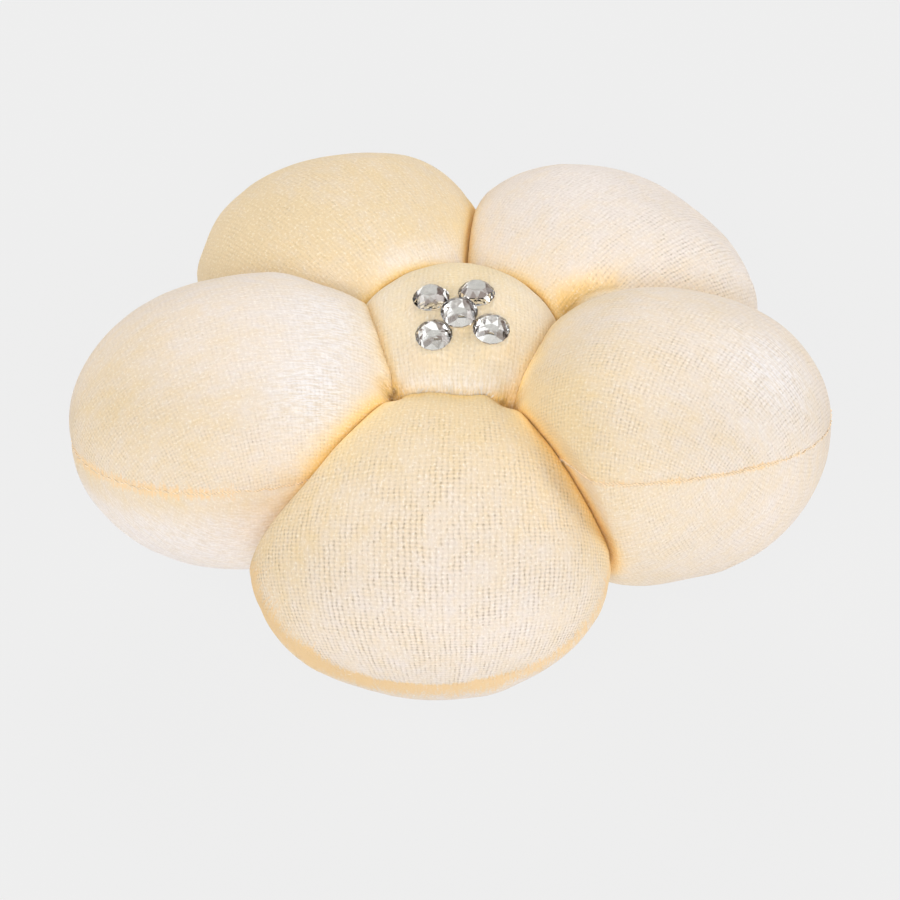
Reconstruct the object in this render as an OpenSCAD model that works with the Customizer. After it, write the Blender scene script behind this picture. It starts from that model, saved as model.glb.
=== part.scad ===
// Stuffed velvet flower on a sprung duckbill hair clip.
// Millimetres. +Z points up, out of the face of the flower. The clip runs along X
// under the flower, and its closed lower jaw rests on the plane z = 0.

/* [Flower] */
// Height of the flower's middle plane above the resting plane
flower_z = 23.6; // [23.6:0.1:26]
// Thickness of the velvet, pile included
velvet_t = 1; // [0.6:0.1:1.4]
// Half of the gap between two petals that press on each other
petal_gap = 0.15; // [0.1:0.05:0.4]
// Gap between a petal and the button it presses on
button_gap = 0.9; // [0.9:0.1:1.2]
// Gap between the two sewn edges, which the seam thread fills
seam_gap = 0.7; // [0.7:0.1:0.9]
// Radius of the seam thread
seam_r = 0.15; // [0.1:0.05:0.15]
// Points around a petal
petal_points = 32; // [20:4:44]
// Rings from a petal's crown to its seam
petal_rings = 6; // [4:1:9]

/* [Centre button] */
// Radius of the covered button
button_r = 11.5; // [11:0.1:12]
// Height of its dome above its widest circle
button_h = 8.5; // [8:0.1:9]
// Thickness of the wadding under its velvet
pad_t = 1.65; // [1.2:0.05:2]

/* [Rhinestones] */
// Diameter of a stone
stone_d = 3.9; // [3:0.1:3.9]
// Height of a stone
stone_h = 1.3; // [1.1:0.1:1.4]
// Diameter of the flat table as a share of the stone
stone_table = 0.5; // [0.4:0.05:0.6]

/* [Felt] */
// Radius of the felt disc under the petals
felt_r = 21; // [18:0.5:22]
// Thickness of the felt disc
felt_t = 1.45; // [1:0.05:1.45]
// Thickness of the felt patch that holds the upper jaw
patch_t = 0.8; // [0.6:0.1:1]

/* [Clip] */
// Length of the clip's levers behind the hinge
lever_l = 19; // [16:0.5:20]
// Length of the clip's jaws before the hinge
jaw_l = 32; // [30:0.5:33]
// Width of the clip
clip_w = 9; // [8.5:0.1:10]
// Thickness of its steel strip
sheet_t = 0.8; // [0.6:0.1:0.9]
// Radius of the hinge pin
pin_r = 0.75; // [0.6:0.05:0.9]
// Radius of the spring wire
wire_r = 0.3; // [0.25:0.05:0.35]
// Turns of the spring
spring_turns = 5; // [4:1:5]

/* [Hidden] */

velvet = [0.95, 0.88, 0.78];
velvet_deep = [0.93, 0.82, 0.66];
thread_colour = [0.95, 0.78, 0.56];
felt_colour = [0.93, 0.87, 0.76];
steel = [0.78, 0.79, 0.80];

// The flower's axis in the part's frame, so that the part's box is centred on the origin
flower_x = 1.3;
flower_y = 2.3;
// How softly surfaces round off where they are pressed: against a neighbour, the button and the felt
soft_side = 1.2;
soft_button = 1;
soft_floor = 2;
// Underside of the petals over the felt, below the flower's middle plane
floor_z = -14;
floor_r = 22.5;
floor_slope = 0.9;

// Each petal as it was sewn and stuffed by hand, counter-clockwise from the front one:
// bearing, droop and roll in degrees; half length, half width, loft above and below the seam,
// height of its root, distance of its middle, shift of its crown, taper, and
// whether it lies flat along the clip
PETALS = [
  [-97, 16, 1, 16.5, 18, 9, 12, 5.5, 24.5, 3, 0.1, 0],
  [-20.5, -12, -24.5, 17, 17.5, 13, 16.5, -5, 23, -1, 0.05, 1],
  [51, 18, -8, 16.5, 17.5, 11.5, 11.5, 1.5, 23, -0.5, 0.15, 0],
  [123.5, 20, 0, 16.5, 15.5, 10, 9, 3.5, 24, 2, 0.1, 0],
  [192, 1.5, 17, 18.5, 16, 13.5, 16.5, -1.5, 23, 0.5, -0.05, 1]
];
// Where two neighbours press on each other: bearing and slant of the plane after each petal
SIDES = [[-58, 6], [15, 0], [86, -12.5], [160.5, 3], [231.5, -7.5]];

// Centre of the button, from the flower's axis and middle plane, and its depth below its widest circle
button_x = -0.8;
button_y = -0.7;
button_z = 1.6;
button_d = 4;
button_c = [button_x, button_y, button_z];

// Stones on the dome, set by hand: place from the button's centre, lift off the dome,
// lean and the bearing it leans to, and turn about their own axis
STONES = [
  [0.3, -2.2, 0.85, 8, -90, 10],
  [-2.6, 0.3, 0.4, 8, 130, 0],
  [2.1, 0.9, 0.4, 7, 80, 25],
  [-2.3, -4.4, 0.4, 9, -115, 15],
  [3.6, -3.5, 0.4, 9, -60, 40]
];

function smax(a, b, k) = (a + b + sqrt((a - b) * (a - b) + k * k)) / 2;
function unit(v) = v / norm(v);

// A point of a petal in its own frame: t is the bearing around the crown, v runs from the
// crown (0) to the seam (1), up is 1 above the seam and -1 below, d is how deep under the surface
function petal_local(p, t, v, up, d, g) =
  let (r = sin(90 * v), h = cos(90 * v), lift = up > 0 ? p[5] : p[6])
  [p[8] + (p[3] - d) * cos(t) * r + p[9] * h * h,
   (p[4] - d) * sin(t) * r * (1 + p[10] * cos(t) * r),
   up * (g / 2 + (lift - d - g / 2) * h)];

// The petal rolled, drooped, turned to its bearing and lifted
function placed(q, p) =
  let (a = q[1] * cos(p[2]) - q[2] * sin(p[2]), b = q[1] * sin(p[2]) + q[2] * cos(p[2]),
       s = q[0] * cos(p[1]) + b * sin(p[1]), n = -q[0] * sin(p[1]) + b * cos(p[1]))
  [s * cos(p[0]) - a * sin(p[0]), s * sin(p[0]) + a * cos(p[0]), n + p[7]];

function side_normal(i) =
  let (b = SIDES[i][0], k = SIDES[i][1]) [-sin(b) * cos(k), cos(b) * cos(k), sin(k)];
function pressed(p, m, way, d) =
  let (now = way * ((p - button_c) * m), flat = [m[0], m[1], 0])
  p + (smax(now, d, soft_side) - now) * way * flat / (flat * flat);
function off_floor(p, flat, d) =
  let (r = norm([p[0], p[1]]), z = floor_z + d - (1 - flat) * max(0, r - floor_r) * floor_slope)
  [p[0], p[1], smax(p[2], z, soft_floor)];
function off_button(p, d) =
  let (q = p - button_c, high = (q[2] > 0 ? button_h : button_d + 1) + d, r = norm([q[0], q[1]]),
       b = (button_r + d) * sqrt(max(0, 1 - q[2] * q[2] / (high * high))), f = smax(r, b, soft_button) / r)
  [button_x + q[0] * f, button_y + q[1] * f, p[2]];

// A point of petal i at its place on the part, squeezed by the felt, its neighbours and the button
function laid(i, t, v, up, d, g) =
  let (p = PETALS[i], e = petal_gap + d,
       a = off_floor(placed(petal_local(p, t, v, up, d, g), p), p[11], d),
       b = pressed(a, side_normal(i), -1, e),
       c = pressed(b, side_normal((i + 4) % 5), 1, e))
  off_button(c, button_gap + d) + [flower_x, flower_y, flower_z];

function flip(f, up) = up > 0 ? f : [for (t = f) [t[0], t[2], t[1]]];
// Faces of a cap of n points by r rings around a crown, from vertex number o
function cap_faces(n, r, o) = concat(
  [for (k = [0:n - 1]) [o, o + 1 + (k + 1) % n, o + 1 + k]],
  [for (j = [0:r - 2], k = [0:n - 1], h = [0, 1])
    let (a = o + 1 + j * n, b = a + n, l = (k + 1) % n)
    h == 0 ? [a + k, a + l, b + l] : [a + k, b + l, b + k]]);
function cap_points(i, n, r, up, d, g) = concat(
  [laid(i, 0, 0, up, d, g)],
  [for (j = [1:r], k = [0:n - 1]) laid(i, 360 * k / n, j / r, up, d, g)]);

// One velvet panel of a petal: a shell from its crown to its sewn edge
module petal_panel(i, up) {
  n = petal_points; r = petal_rings; o = 1 + n * r;
  outer = cap_points(i, n, r, up, 0, seam_gap);
  inner = cap_points(i, n, r, up, velvet_t, seam_gap);
  rim = [for (k = [0:n - 1], h = [0, 1])
    let (l = (k + 1) % n, a = 1 + (r - 1) * n, b = o + a)
    h == 0 ? [b + k, a + k, a + l] : [b + k, a + l, b + l]];
  color(velvet)
    polyhedron(concat(outer, inner),
      flip(concat(cap_faces(n, r, 0), [for (f = cap_faces(n, r, o)) [f[0], f[2], f[1]]], rim), up), 4);
}

// Fibre filling of a petal
module petal_filling(i) {
  n = petal_points; r = petal_rings; d = velvet_t + 0.35;
  top = cap_points(i, n, r, 1, d, 0);
  // the lower half shares the upper half's last ring
  lower = concat([laid(i, 0, 0, -1, d, 0)],
    [for (j = [1:r - 1], k = [0:n - 1]) laid(i, 360 * k / n, j / r, -1, d, 0)]);
  o = 1 + n * r; a = 1 + (r - 1) * n; b = o + 1 + (r - 2) * n;
  join = [for (k = [0:n - 1], h = [0, 1]) let (l = (k + 1) % n)
    h == 0 ? [b + k, a + l, b + l] : [b + k, a + k, a + l]];
  color([0.97, 0.97, 0.95])
    polyhedron(concat(top, lower),
      concat(cap_faces(n, r, 0), [for (f = cap_faces(n, r - 1, o)) [f[0], f[2], f[1]]], join), 4);
}

// Tube of radius w and m sides along the points c; up holds one side of it steady
function tube_points(c, w, m, up, closed) =
  let (n = len(c))
  [for (k = [0:n - 1], j = [0:m - 1])
    let (t = closed ? c[(k + 1) % n] - c[(k + n - 1) % n] : c[min(k + 1, n - 1)] - c[max(k - 1, 0)],
         b = unit(cross(t, up)), a = unit(cross(b, t)))
    c[k] + w * (cos(360 * j / m) * b + sin(360 * j / m) * a)];
function tube_faces(n, m, closed) = concat(
  [for (k = [0:(closed ? n - 1 : n - 2)], j = [0:m - 1], h = [0, 1])
    let (a = k * m, b = ((k + 1) % n) * m, i = (j + 1) % m)
    h == 0 ? [a + j, a + i, b + i] : [a + j, b + i, b + j]],
  closed ? [] : [[for (j = [m - 1:-1:0]) j], [for (j = [0:m - 1]) (n - 1) * m + j]]);

// Thread that sews the two panels of a petal together
module petal_seam(i) {
  n = petal_points; p = PETALS[i];
  line = [for (k = [0:n - 1]) laid(i, 360 * k / n, 1, 1, 0.3, 0)];
  up = placed([0, 0, 1], p) - placed([0, 0, 0], p);
  color(thread_colour)
    polyhedron(tube_points(line, seam_r, 6, up, true), tube_faces(n, 6, true), 4);
}

// Ring of thread that draws the petals together under the button
module gathering_thread() {
  color(thread_colour)
    translate([flower_x + button_x, flower_y + button_y, flower_z - 11])
      rotate_extrude($fn = 48) translate([5.5, 0]) circle(0.4, $fn = 16);
}

// Outline of the button's dome and its turned-under edge, d under the surface
function dome(d, a0, a1, n) = [for (k = [0:n])
  let (a = a0 + (a1 - a0) * k / n)
  [max(0, (button_r - d) * cos(a)), (a > 0 ? button_h - d : button_d - d / 2) * sin(a)]];
module dome_shell(d0, d1, a1, n) {
  translate([flower_x + button_x, flower_y + button_y, flower_z + button_z])
    rotate_extrude($fn = 64) polygon(concat(dome(d0, 90, a1, n), [for (k = [n:-1:0]) dome(d1, 90, a1, n)[k]]));
}
module button_cover() { color(velvet_deep) dome_shell(0, velvet_t - 0.1, -50, 20); }
module button_pad() { color([0.97, 0.97, 0.95]) dome_shell(velvet_t - 0.05, velvet_t - 0.05 + pad_t, -20, 16); }
module button_shell() { color(steel) dome_shell(velvet_t + pad_t, velvet_t + pad_t + 0.5, -10, 14); }

// Back plate of the button
module button_back() {
  color(steel)
    translate([flower_x + button_x, flower_y + button_y, flower_z + button_z - 1.9])
      cylinder(h = 0.7, r = button_r - 3.6, $fn = 64);
}
// Wire loop under the back plate
module button_shank() {
  color(steel)
    translate([flower_x + button_x, flower_y + button_y, flower_z + button_z - 1.95]) {
      for (s = [-1, 1]) translate([1.8 * s, 0, -0.7]) cylinder(h = 0.7, r = 0.5, $fn = 24);
      translate([0, 0, -0.7]) rotate([-90, 0, 0]) rotate_extrude(angle = 180, $fn = 32) translate([1.8, 0]) circle(0.5, $fn = 24);
    }
}
// Loop of thread that ties the shank down to the felt
module anchor_thread() {
  low = sheet_z + felt_t + 0.2;
  top = flower_z + button_z - 1.95 - 1.45;
  color(thread_colour)
    translate([flower_x + button_x, flower_y + button_y, 0]) {
      for (s = [-1, 1]) translate([0, 1.2 * s, low + 1.55]) cylinder(h = top - low - 3.1 + 0.35, r = 0.35, $fn = 20);
      translate([0, 0, top - 1.2]) rotate([90, 0, 90]) rotate_extrude(angle = 180, $fn = 32) translate([1.2, 0]) circle(0.35, $fn = 20);
      translate([0, 0, low + 1.55]) rotate([-90, 0, 90]) rotate_extrude(angle = 180, $fn = 32) translate([1.2, 0]) circle(0.35, $fn = 20);
    }
}

// Frame of a stone over the dome
module on_dome(s) {
  z = button_h * sqrt(1 - (s[0] * s[0] + s[1] * s[1]) / (button_r * button_r));
  translate([flower_x + button_x + s[0], flower_y + button_y + s[1], flower_z + button_z + z + s[2]])
    rotate([0, 0, s[4]]) rotate([0, s[3], 0]) rotate([0, 0, s[5] - s[4]]) children();
}
// Flat-backed brilliant: an eight-sided table, eight stars, eight kites and sixteen girdle facets
function ring(n, r, z, turn) = [for (k = [0:n - 1]) [r * cos(360 * k / n + turn), r * sin(360 * k / n + turn), z]];
module rhinestone(s) {
  r = stone_d / 2;
  pts = concat(ring(8, r * stone_table, stone_h, 0), ring(8, r * 0.78, stone_h * 0.64, 22.5),
               ring(16, r, stone_h * 0.2, 0), ring(16, r * 0.95, 0, 0));
  table = [[for (k = [7:-1:0]) k]];
  star = [for (k = [0:7]) [k, (k + 1) % 8, 8 + k]];
  kite = [for (k = [0:7]) let (l = (k + 7) % 8) [k, 8 + k, 16 + 2 * k, 8 + l]];
  half = [for (k = [0:7], h = [0, 1])
    h == 0 ? [8 + k, 16 + (2 * k + 1), 16 + 2 * k] : [8 + k, 16 + (2 * k + 2) % 16, 16 + (2 * k + 1)]];
  edge = [for (k = [0:15]) let (l = (k + 1) % 16) [16 + k, 16 + l, 32 + l, 32 + k]];
  base = [[for (k = [0:15]) 32 + k]];
  color([0.86, 0.88, 0.9])
    on_dome(s)
      polyhedron(pts, concat(table, star, [for (f = kite) [f[0], f[1], f[2]]], [for (f = kite) [f[0], f[2], f[3]]],
        half, edge, base), 4);
}
// Mirror foils under the stones
module rhinestone_foils() {
  color(steel)
    for (s = STONES) on_dome(s) translate([0, 0, -0.1]) cylinder(h = 0.08, r = stone_d / 2 * 0.93, $fn = 32);
}

// The clip's upper face, its hinge and the space between the strips
sheet_z = 8;
hinge_x = -6;
hinge_z = 4;
rear_x = hinge_x - lever_l;
tip_x = hinge_x + jaw_l;
ear_r = 2.2;
ear_in = clip_w / 2 - sheet_t;

module strip(x0, x1, w, r) {
  translate([x0 + r, -w / 2]) square([x1 - x0 - 2 * r, w]);
  translate([x0, -w / 2 + r]) square([x1 - x0, w - 2 * r]);
  for (x = [x0 + r, x1 - r], y = [-w / 2 + r, w / 2 - r]) translate([x, y]) circle(r, $fn = 32);
}
module felt_backing() {
  color(felt_colour)
    translate([flower_x + button_x, flower_y + button_y, sheet_z + 0.05]) cylinder(h = felt_t, r = felt_r, $fn = 96);
}
// Felt patch glued round the upper jaw to the backing
module felt_patch() {
  w = clip_w / 2 + 0.1; b = sheet_z - sheet_t - 0.05;
  half = [[w + 3, sheet_z], [w + 3, sheet_z - patch_t], [w + 1.4, sheet_z - patch_t], [w + 0.6, b - patch_t]];
  color(felt_colour)
    translate([1, 0, 0]) rotate([90, 0, 90])
      linear_extrude(16)
        polygon(concat(half, [for (k = [3:-1:0]) [-half[k][0], half[k][1]]], [[-w, sheet_z], [-w, b], [w, b], [w, sheet_z]]));
}
// Upper jaw: a flat strip with two ears folded down
module clip_upper_jaw() {
  color(steel) difference() {
    union() {
      translate([0, 0, sheet_z - sheet_t]) linear_extrude(sheet_t) strip(rear_x, tip_x, clip_w, 3);
      for (y = [-clip_w / 2, ear_in]) translate([0, y + sheet_t, 0]) rotate([90, 0, 0]) linear_extrude(sheet_t) {
        translate([hinge_x, hinge_z]) circle(ear_r, $fn = 48);
        translate([hinge_x - ear_r, hinge_z]) square([2 * ear_r, sheet_z - hinge_z - sheet_t / 2]);
      }
    }
    translate([hinge_x, clip_w, hinge_z]) rotate([90, 0, 0]) cylinder(h = 2 * clip_w, r = pin_r + 0.01, $fn = 48);
  }
}
// Middle line of the lower jaw: flat under the levers, bowed up to the tip
bow_x = 9;
bow_end = tip_x - 2;
bow_h = sheet_z - sheet_t - 0.15 - sheet_t;
function bow(x) = let (u = min(1, max(0, (x - bow_x) / (bow_end - bow_x)))) sheet_t / 2 + bow_h * u * u * (3 - 2 * u);
function bow_up(x) = unit([bow(x - 0.01) - bow(x + 0.01), 0.02]);
bow_n = 14;
BOW = concat([[rear_x, sheet_t / 2]], [for (k = [0:bow_n]) let (x = bow_x + (bow_end - bow_x) * k / bow_n) [x, bow(x)]], [[tip_x, bow(tip_x)]]);
module clip_lower_jaw() {
  low_in = ear_in - 0.2 - sheet_t;
  side = [for (q = BOW) q + sheet_t / 2 * bow_up(q[0])];
  under = [for (k = [len(BOW) - 1:-1:0]) BOW[k] - sheet_t / 2 * bow_up(BOW[k][0])];
  color(steel) difference() {
    union() {
      intersection() {
        translate([0, clip_w / 2, 0]) rotate([90, 0, 0]) linear_extrude(clip_w) polygon(concat(side, under));
        linear_extrude(sheet_z) strip(rear_x, tip_x, clip_w, 3);
      }
      for (s = [-1, 1]) {
        // ear folded up beside the spring
        translate([0, s > 0 ? low_in + sheet_t : -low_in, 0]) rotate([90, 0, 0]) linear_extrude(sheet_t) {
          translate([hinge_x, hinge_z]) circle(ear_r - 0.2, $fn = 48);
          translate([hinge_x - ear_r + 0.2, sheet_t / 2]) square([2 * ear_r - 0.4, hinge_z - sheet_t / 2]);
        }
        // row of gripping teeth along the edge
        for (k = [0:5]) let (x = bow_x + 0.6 + 1.5 * k)
          translate([0, s > 0 ? clip_w / 2 : -clip_w / 2 + 0.7, 0]) rotate([90, 0, 0]) linear_extrude(0.7)
            polygon([[x - 0.7, bow(x - 0.7)], [x + 0.7, bow(x + 0.7)], [x, bow(x) + sheet_t / 2 + 0.9]]);
      }
    }
    // notches beside the ears
    for (s = [-1, 1]) translate([hinge_x - 3.5, s > 0 ? low_in + sheet_t : -clip_w, -1]) cube([7, clip_w - low_in - sheet_t, 2.5]);
    // finger grooves across the lever
    for (k = [0:3]) translate([rear_x + 2.5 + 1.6 * k, -clip_w, -0.55]) cube([0.7, 2 * clip_w, 0.8]);
    translate([hinge_x, clip_w, hinge_z]) rotate([90, 0, 0]) cylinder(h = 2 * clip_w, r = pin_r + 0.05, $fn = 48);
  }
}
// Hinge pin with two riveted heads
module clip_hinge_pin() {
  e = clip_w / 2 + 0.05;
  color(steel) translate([hinge_x, 0, hinge_z]) rotate([-90, 0, 0])
    rotate_extrude($fn = 48) polygon([[0, -e - 0.6], [pin_r + 0.15, -e - 0.6], [pin_r + 0.6, -e - 0.25], [pin_r + 0.6, -e],
      [pin_r, -e], [pin_r, e], [pin_r + 0.6, e], [pin_r + 0.6, e + 0.25], [pin_r + 0.15, e + 0.6], [0, e + 0.6]]);
}
// Torsion spring round the pin, its legs pushing the levers apart
coil_r = pin_r + wire_r + 0.25;
coil_p = 2 * wire_r + 0.14;
function coil(a) = [hinge_x - coil_r * cos(a), coil_p * (a - 180 * spring_turns) / 360, hinge_z + coil_r * sin(a)];
module clip_spring() {
  turn = 360 * spring_turns;
  a0 = 100; a1 = turn - 100;
  low = [rear_x + 8, coil(a1)[1], sheet_t + wire_r + 0.05];
  high = [rear_x + 8, coil(a0)[1], sheet_z - sheet_t - wire_r - 0.05];
  line = concat([high, (high + coil(a0)) / 2 + [0, 0, 0.35]], [for (a = [a0:20:a1]) coil(a)], [(low + coil(a1)) / 2 + [0, 0, -0.35], low]);
  color(steel) polyhedron(tube_points(line, wire_r, 8, [0, 1, 0], false), tube_faces(len(line), 8, false), 4);
}

petal_panel(0, 1);  // petal_front_upper
petal_panel(0, -1);  // petal_front_lower
petal_filling(0);  // petal_front_filling
petal_seam(0);  // petal_front_seam
petal_panel(1, 1);  // petal_right_upper
petal_panel(1, -1);  // petal_right_lower
petal_filling(1);  // petal_right_filling
petal_seam(1);  // petal_right_seam
petal_panel(2, 1);  // petal_back_right_upper
petal_panel(2, -1);  // petal_back_right_lower
petal_filling(2);  // petal_back_right_filling
petal_seam(2);  // petal_back_right_seam
petal_panel(3, 1);  // petal_back_left_upper
petal_panel(3, -1);  // petal_back_left_lower
petal_filling(3);  // petal_back_left_filling
petal_seam(3);  // petal_back_left_seam
petal_panel(4, 1);  // petal_left_upper
petal_panel(4, -1);  // petal_left_lower
petal_filling(4);  // petal_left_filling
petal_seam(4);  // petal_left_seam
gathering_thread();
button_cover();
button_pad();
button_shell();
button_back();
button_shank();
anchor_thread();
rhinestone(STONES[0]);  // rhinestone_middle
rhinestone(STONES[1]);  // rhinestone_back_left
rhinestone(STONES[2]);  // rhinestone_back_right
rhinestone(STONES[3]);  // rhinestone_front_left
rhinestone(STONES[4]);  // rhinestone_front_right
rhinestone_foils();
felt_backing();
felt_patch();
clip_upper_jaw();
clip_lower_jaw();
clip_hinge_pin();
clip_spring();
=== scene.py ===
import math

import bpy
import numpy as np
from mathutils import Matrix, Vector
from mathutils.kdtree import KDTree


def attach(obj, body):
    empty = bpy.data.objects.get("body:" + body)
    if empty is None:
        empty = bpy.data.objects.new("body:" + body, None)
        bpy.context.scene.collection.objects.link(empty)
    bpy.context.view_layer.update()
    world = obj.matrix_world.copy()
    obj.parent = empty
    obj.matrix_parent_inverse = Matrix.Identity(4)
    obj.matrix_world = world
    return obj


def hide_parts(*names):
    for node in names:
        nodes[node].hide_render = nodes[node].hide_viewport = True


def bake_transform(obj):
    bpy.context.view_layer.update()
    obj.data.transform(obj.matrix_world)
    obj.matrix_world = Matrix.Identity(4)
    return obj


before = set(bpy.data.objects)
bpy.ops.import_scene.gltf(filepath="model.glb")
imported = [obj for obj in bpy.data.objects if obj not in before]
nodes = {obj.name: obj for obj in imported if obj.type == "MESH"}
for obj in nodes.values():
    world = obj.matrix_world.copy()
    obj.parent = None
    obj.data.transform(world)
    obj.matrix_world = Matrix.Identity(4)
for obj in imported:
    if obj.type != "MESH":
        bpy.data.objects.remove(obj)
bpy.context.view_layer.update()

MM = 0.001
scene = bpy.context.scene

# ---------------------------------------------------------------- numbers of the flower, in mm
FLOWER = np.array([1.3, 2.3, 23.6])
NAMES = ["front", "right", "back_right", "back_left", "left"]
# bearing, droop, roll, half length, half width, loft above and below, root height, middle, crown shift, taper, flat
PETALS = [
    [-97, 16, 1, 16.5, 18, 9, 12, 5.5, 24.5, 3, 0.1, 0],
    [-20.5, -12, -24.5, 17, 17.5, 13, 16.5, -5, 23, -1, 0.05, 1],
    [51, 18, -8, 16.5, 17.5, 11.5, 11.5, 1.5, 23, -0.5, 0.15, 0],
    [123.5, 20, 0, 16.5, 15.5, 10, 9, 3.5, 24, 2, 0.1, 0],
    [192, 1.5, 17, 18.5, 16, 13.5, 16.5, -1.5, 23, 0.5, -0.05, 1],
]
SIDES = [[-58, 6], [15, 0], [86, -12.5], [160.5, 3], [231.5, -7.5]]
BUTTON = np.array([-0.8, -0.7, 1.6])
BUTTON_R, BUTTON_H, BUTTON_D = 11.5, 8.5, 4.0
STONES = [[0.3, -2.2, 0.85, 8, -90], [-2.6, 0.3, 0.4, 8, 130], [2.1, 0.9, 0.4, 7, 80],
          [-2.3, -4.4, 0.4, 9, -115], [3.6, -3.5, 0.4, 9, -60]]
GAP = 0.03
SOFT_SIDE, SOFT_BUTTON, SOFT_FLOOR = 0.4, 0.5, 2.0
# height of the pile on each petal, and where hand stuffing makes it fuller or slacker: bearing, spread, amount
PILE = [0.42, 0.25, 0.1, 0.3, 0.42]
FULLER = [[(-65, 40, 0.8), (-18, 26, 0.35), (-104, 20, -1.0), (100, 20, -0.7), (75, 20, 0.2)], [(40, 30, -0.25), (-10, 22, 0.45), (-94, 28, 2.1), (-45, 22, -0.6)],
          [(-48, 24, -0.55), (-22, 26, -0.6), (-92, 20, 0.6), (-74, 12, 0.8)], [(-45, 25, -0.45), (-80, 14, 0.4)], [(45, 50, 0.35), (-28, 22, -0.25), (10, 22, 0.4)]]
FLOOR_Z, FLOOR_R, FLOOR_SLOPE = -14.0, 22.5, 0.9


def rad(a):
    return np.radians(a)


def smax(a, b, k):
    return (a + b + np.sqrt((a - b) ** 2 + k * k)) / 2


# ---------------------------------------------------------------- noise that is the same on every run
def _hash(ix, iy, iz, seed):
    h = (ix * 374761393 + iy * 668265263 + iz * 2147483647 + seed * 1274126177) & 0xFFFFFFFF
    h = ((h ^ (h >> 13)) * 1274126177) & 0xFFFFFFFF
    return ((h ^ (h >> 16)) & 0xFFFF) / 32767.5 - 1.0


def noise3(p, seed=0):
    """Value noise from -1 to 1 at points p, with a cell of 1."""
    f = np.floor(p)
    i = f.astype(np.int64)
    t = p - f
    t = t * t * t * (t * (6 * t - 15) + 10)
    out = 0
    for dx in (0, 1):
        for dy in (0, 1):
            for dz in (0, 1):
                w = (t[..., 0] if dx else 1 - t[..., 0]) * (t[..., 1] if dy else 1 - t[..., 1]) * (t[..., 2] if dz else 1 - t[..., 2])
                out = out + w * _hash(i[..., 0] + dx, i[..., 1] + dy, i[..., 2] + dz, seed)
    return out


def fbm(p, seed=0, octaves=3):
    out, a = 0, 1.0
    for k in range(octaves):
        out = out + a * noise3(p * 2.0 ** k + 17.3 * k, seed + 31 * k)
        a *= 0.5
    return out


# ---------------------------------------------------------------- the petals' shape
def placed(q, p):
    c, s = np.cos(rad(p[2])), np.sin(rad(p[2]))
    a, b = q[..., 1] * c - q[..., 2] * s, q[..., 1] * s + q[..., 2] * c
    c, s = np.cos(rad(p[1])), np.sin(rad(p[1]))
    x, n = q[..., 0] * c + b * s, -q[..., 0] * s + b * c
    c, s = np.cos(rad(p[0])), np.sin(rad(p[0]))
    return np.stack([x * c - a * s, x * s + a * c, n + p[7]], -1)


def side_normal(i):
    b, k = rad(SIDES[i][0]), rad(SIDES[i][1])
    return np.array([-np.sin(b) * np.cos(k), np.cos(b) * np.cos(k), np.sin(k)])


def pressed(P, m, way, d):
    now = way * ((P - BUTTON) @ m)
    flat = np.array([m[0], m[1], 0.0])
    return P + ((smax(now, d, SOFT_SIDE) - now) * way)[..., None] * flat / (flat @ flat)


def off_floor(P, flat, d):
    r = np.hypot(P[..., 0], P[..., 1])
    z = FLOOR_Z + d - (1 - flat) * np.maximum(0, r - FLOOR_R) * FLOOR_SLOPE
    z = z - flat * 0.12 * np.maximum(0, np.abs(P[..., 1]) - 10) * np.clip((r - FLOOR_R) / 4, 0, 1)
    out = P.copy()
    out[..., 2] = smax(P[..., 2], z, SOFT_FLOOR)
    return out


def off_button(P, d):
    q = P - BUTTON
    high = np.where(q[..., 2] > 0, BUTTON_H, BUTTON_D + 1) + d
    b = (BUTTON_R + d) * np.sqrt(np.maximum(0, 1 - (q[..., 2] / high) ** 2))
    r = np.hypot(q[..., 0], q[..., 1]) + 1e-9
    f = smax(r, b, SOFT_BUTTON) / r
    return np.stack([BUTTON[0] + q[..., 0] * f, BUTTON[1] + q[..., 1] * f, P[..., 2]], -1)


def laid(P, i, d=0.0):
    """Points of petal i, squeezed by the felt, its neighbours and the button."""
    P = off_floor(P, PETALS[i][11], d)
    P = pressed(P, side_normal(i), -1, GAP + d)
    P = pressed(P, side_normal((i + 4) % 5), 1, GAP + d)
    return off_button(P, GAP + d)


def disc(n):
    """A square grid of (n+1)^2 points pulled round into a disc: bearing t and v, 0 at the crown and 1 at the rim."""
    u, w = np.meshgrid(np.linspace(-1, 1, n + 1), np.linspace(-1, 1, n + 1), indexing="ij")
    a, b = u * np.sqrt(1 - w * w / 2), w * np.sqrt(1 - u * u / 2)
    s = np.minimum(1, np.hypot(a, b))
    v = 1 - (1 - s) * (1 - 0.35 * s)
    return np.arctan2(b, a), v


def two_caps(n):
    """Faces of two disc grids sewn at the rim, the same for every petal: vertex keys, quads and their panel."""
    idx = np.arange((n + 1) ** 2).reshape(n + 1, n + 1)
    edge = np.zeros_like(idx, bool)
    edge[0, :] = edge[-1, :] = edge[:, 0] = edge[:, -1] = True
    low = np.full_like(idx, -1)
    low[edge] = idx[edge]
    low[~edge] = (n + 1) ** 2 + np.arange((~edge).sum())
    up = np.stack([idx[:-1, :-1], idx[1:, :-1], idx[1:, 1:], idx[:-1, 1:]], -1).reshape(-1, 4)
    dn = np.stack([low[:-1, :-1], low[:-1, 1:], low[1:, 1:], low[1:, :-1]], -1).reshape(-1, 4)
    # which corner of the grid each face corner came from, for the maps of each panel
    upg = up
    dng = np.stack([idx[:-1, :-1], idx[:-1, 1:], idx[1:, 1:], idx[1:, :-1]], -1).reshape(-1, 4)
    return edge, up, dn, upg, dng


def quarter(a, b):
    """Length of a quarter of an ellipse."""
    h = ((a - b) / (a + b)) ** 2
    return math.pi / 4 * (a + b) * (1 + 3 * h / (10 + math.sqrt(4 - 3 * h)))


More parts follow.
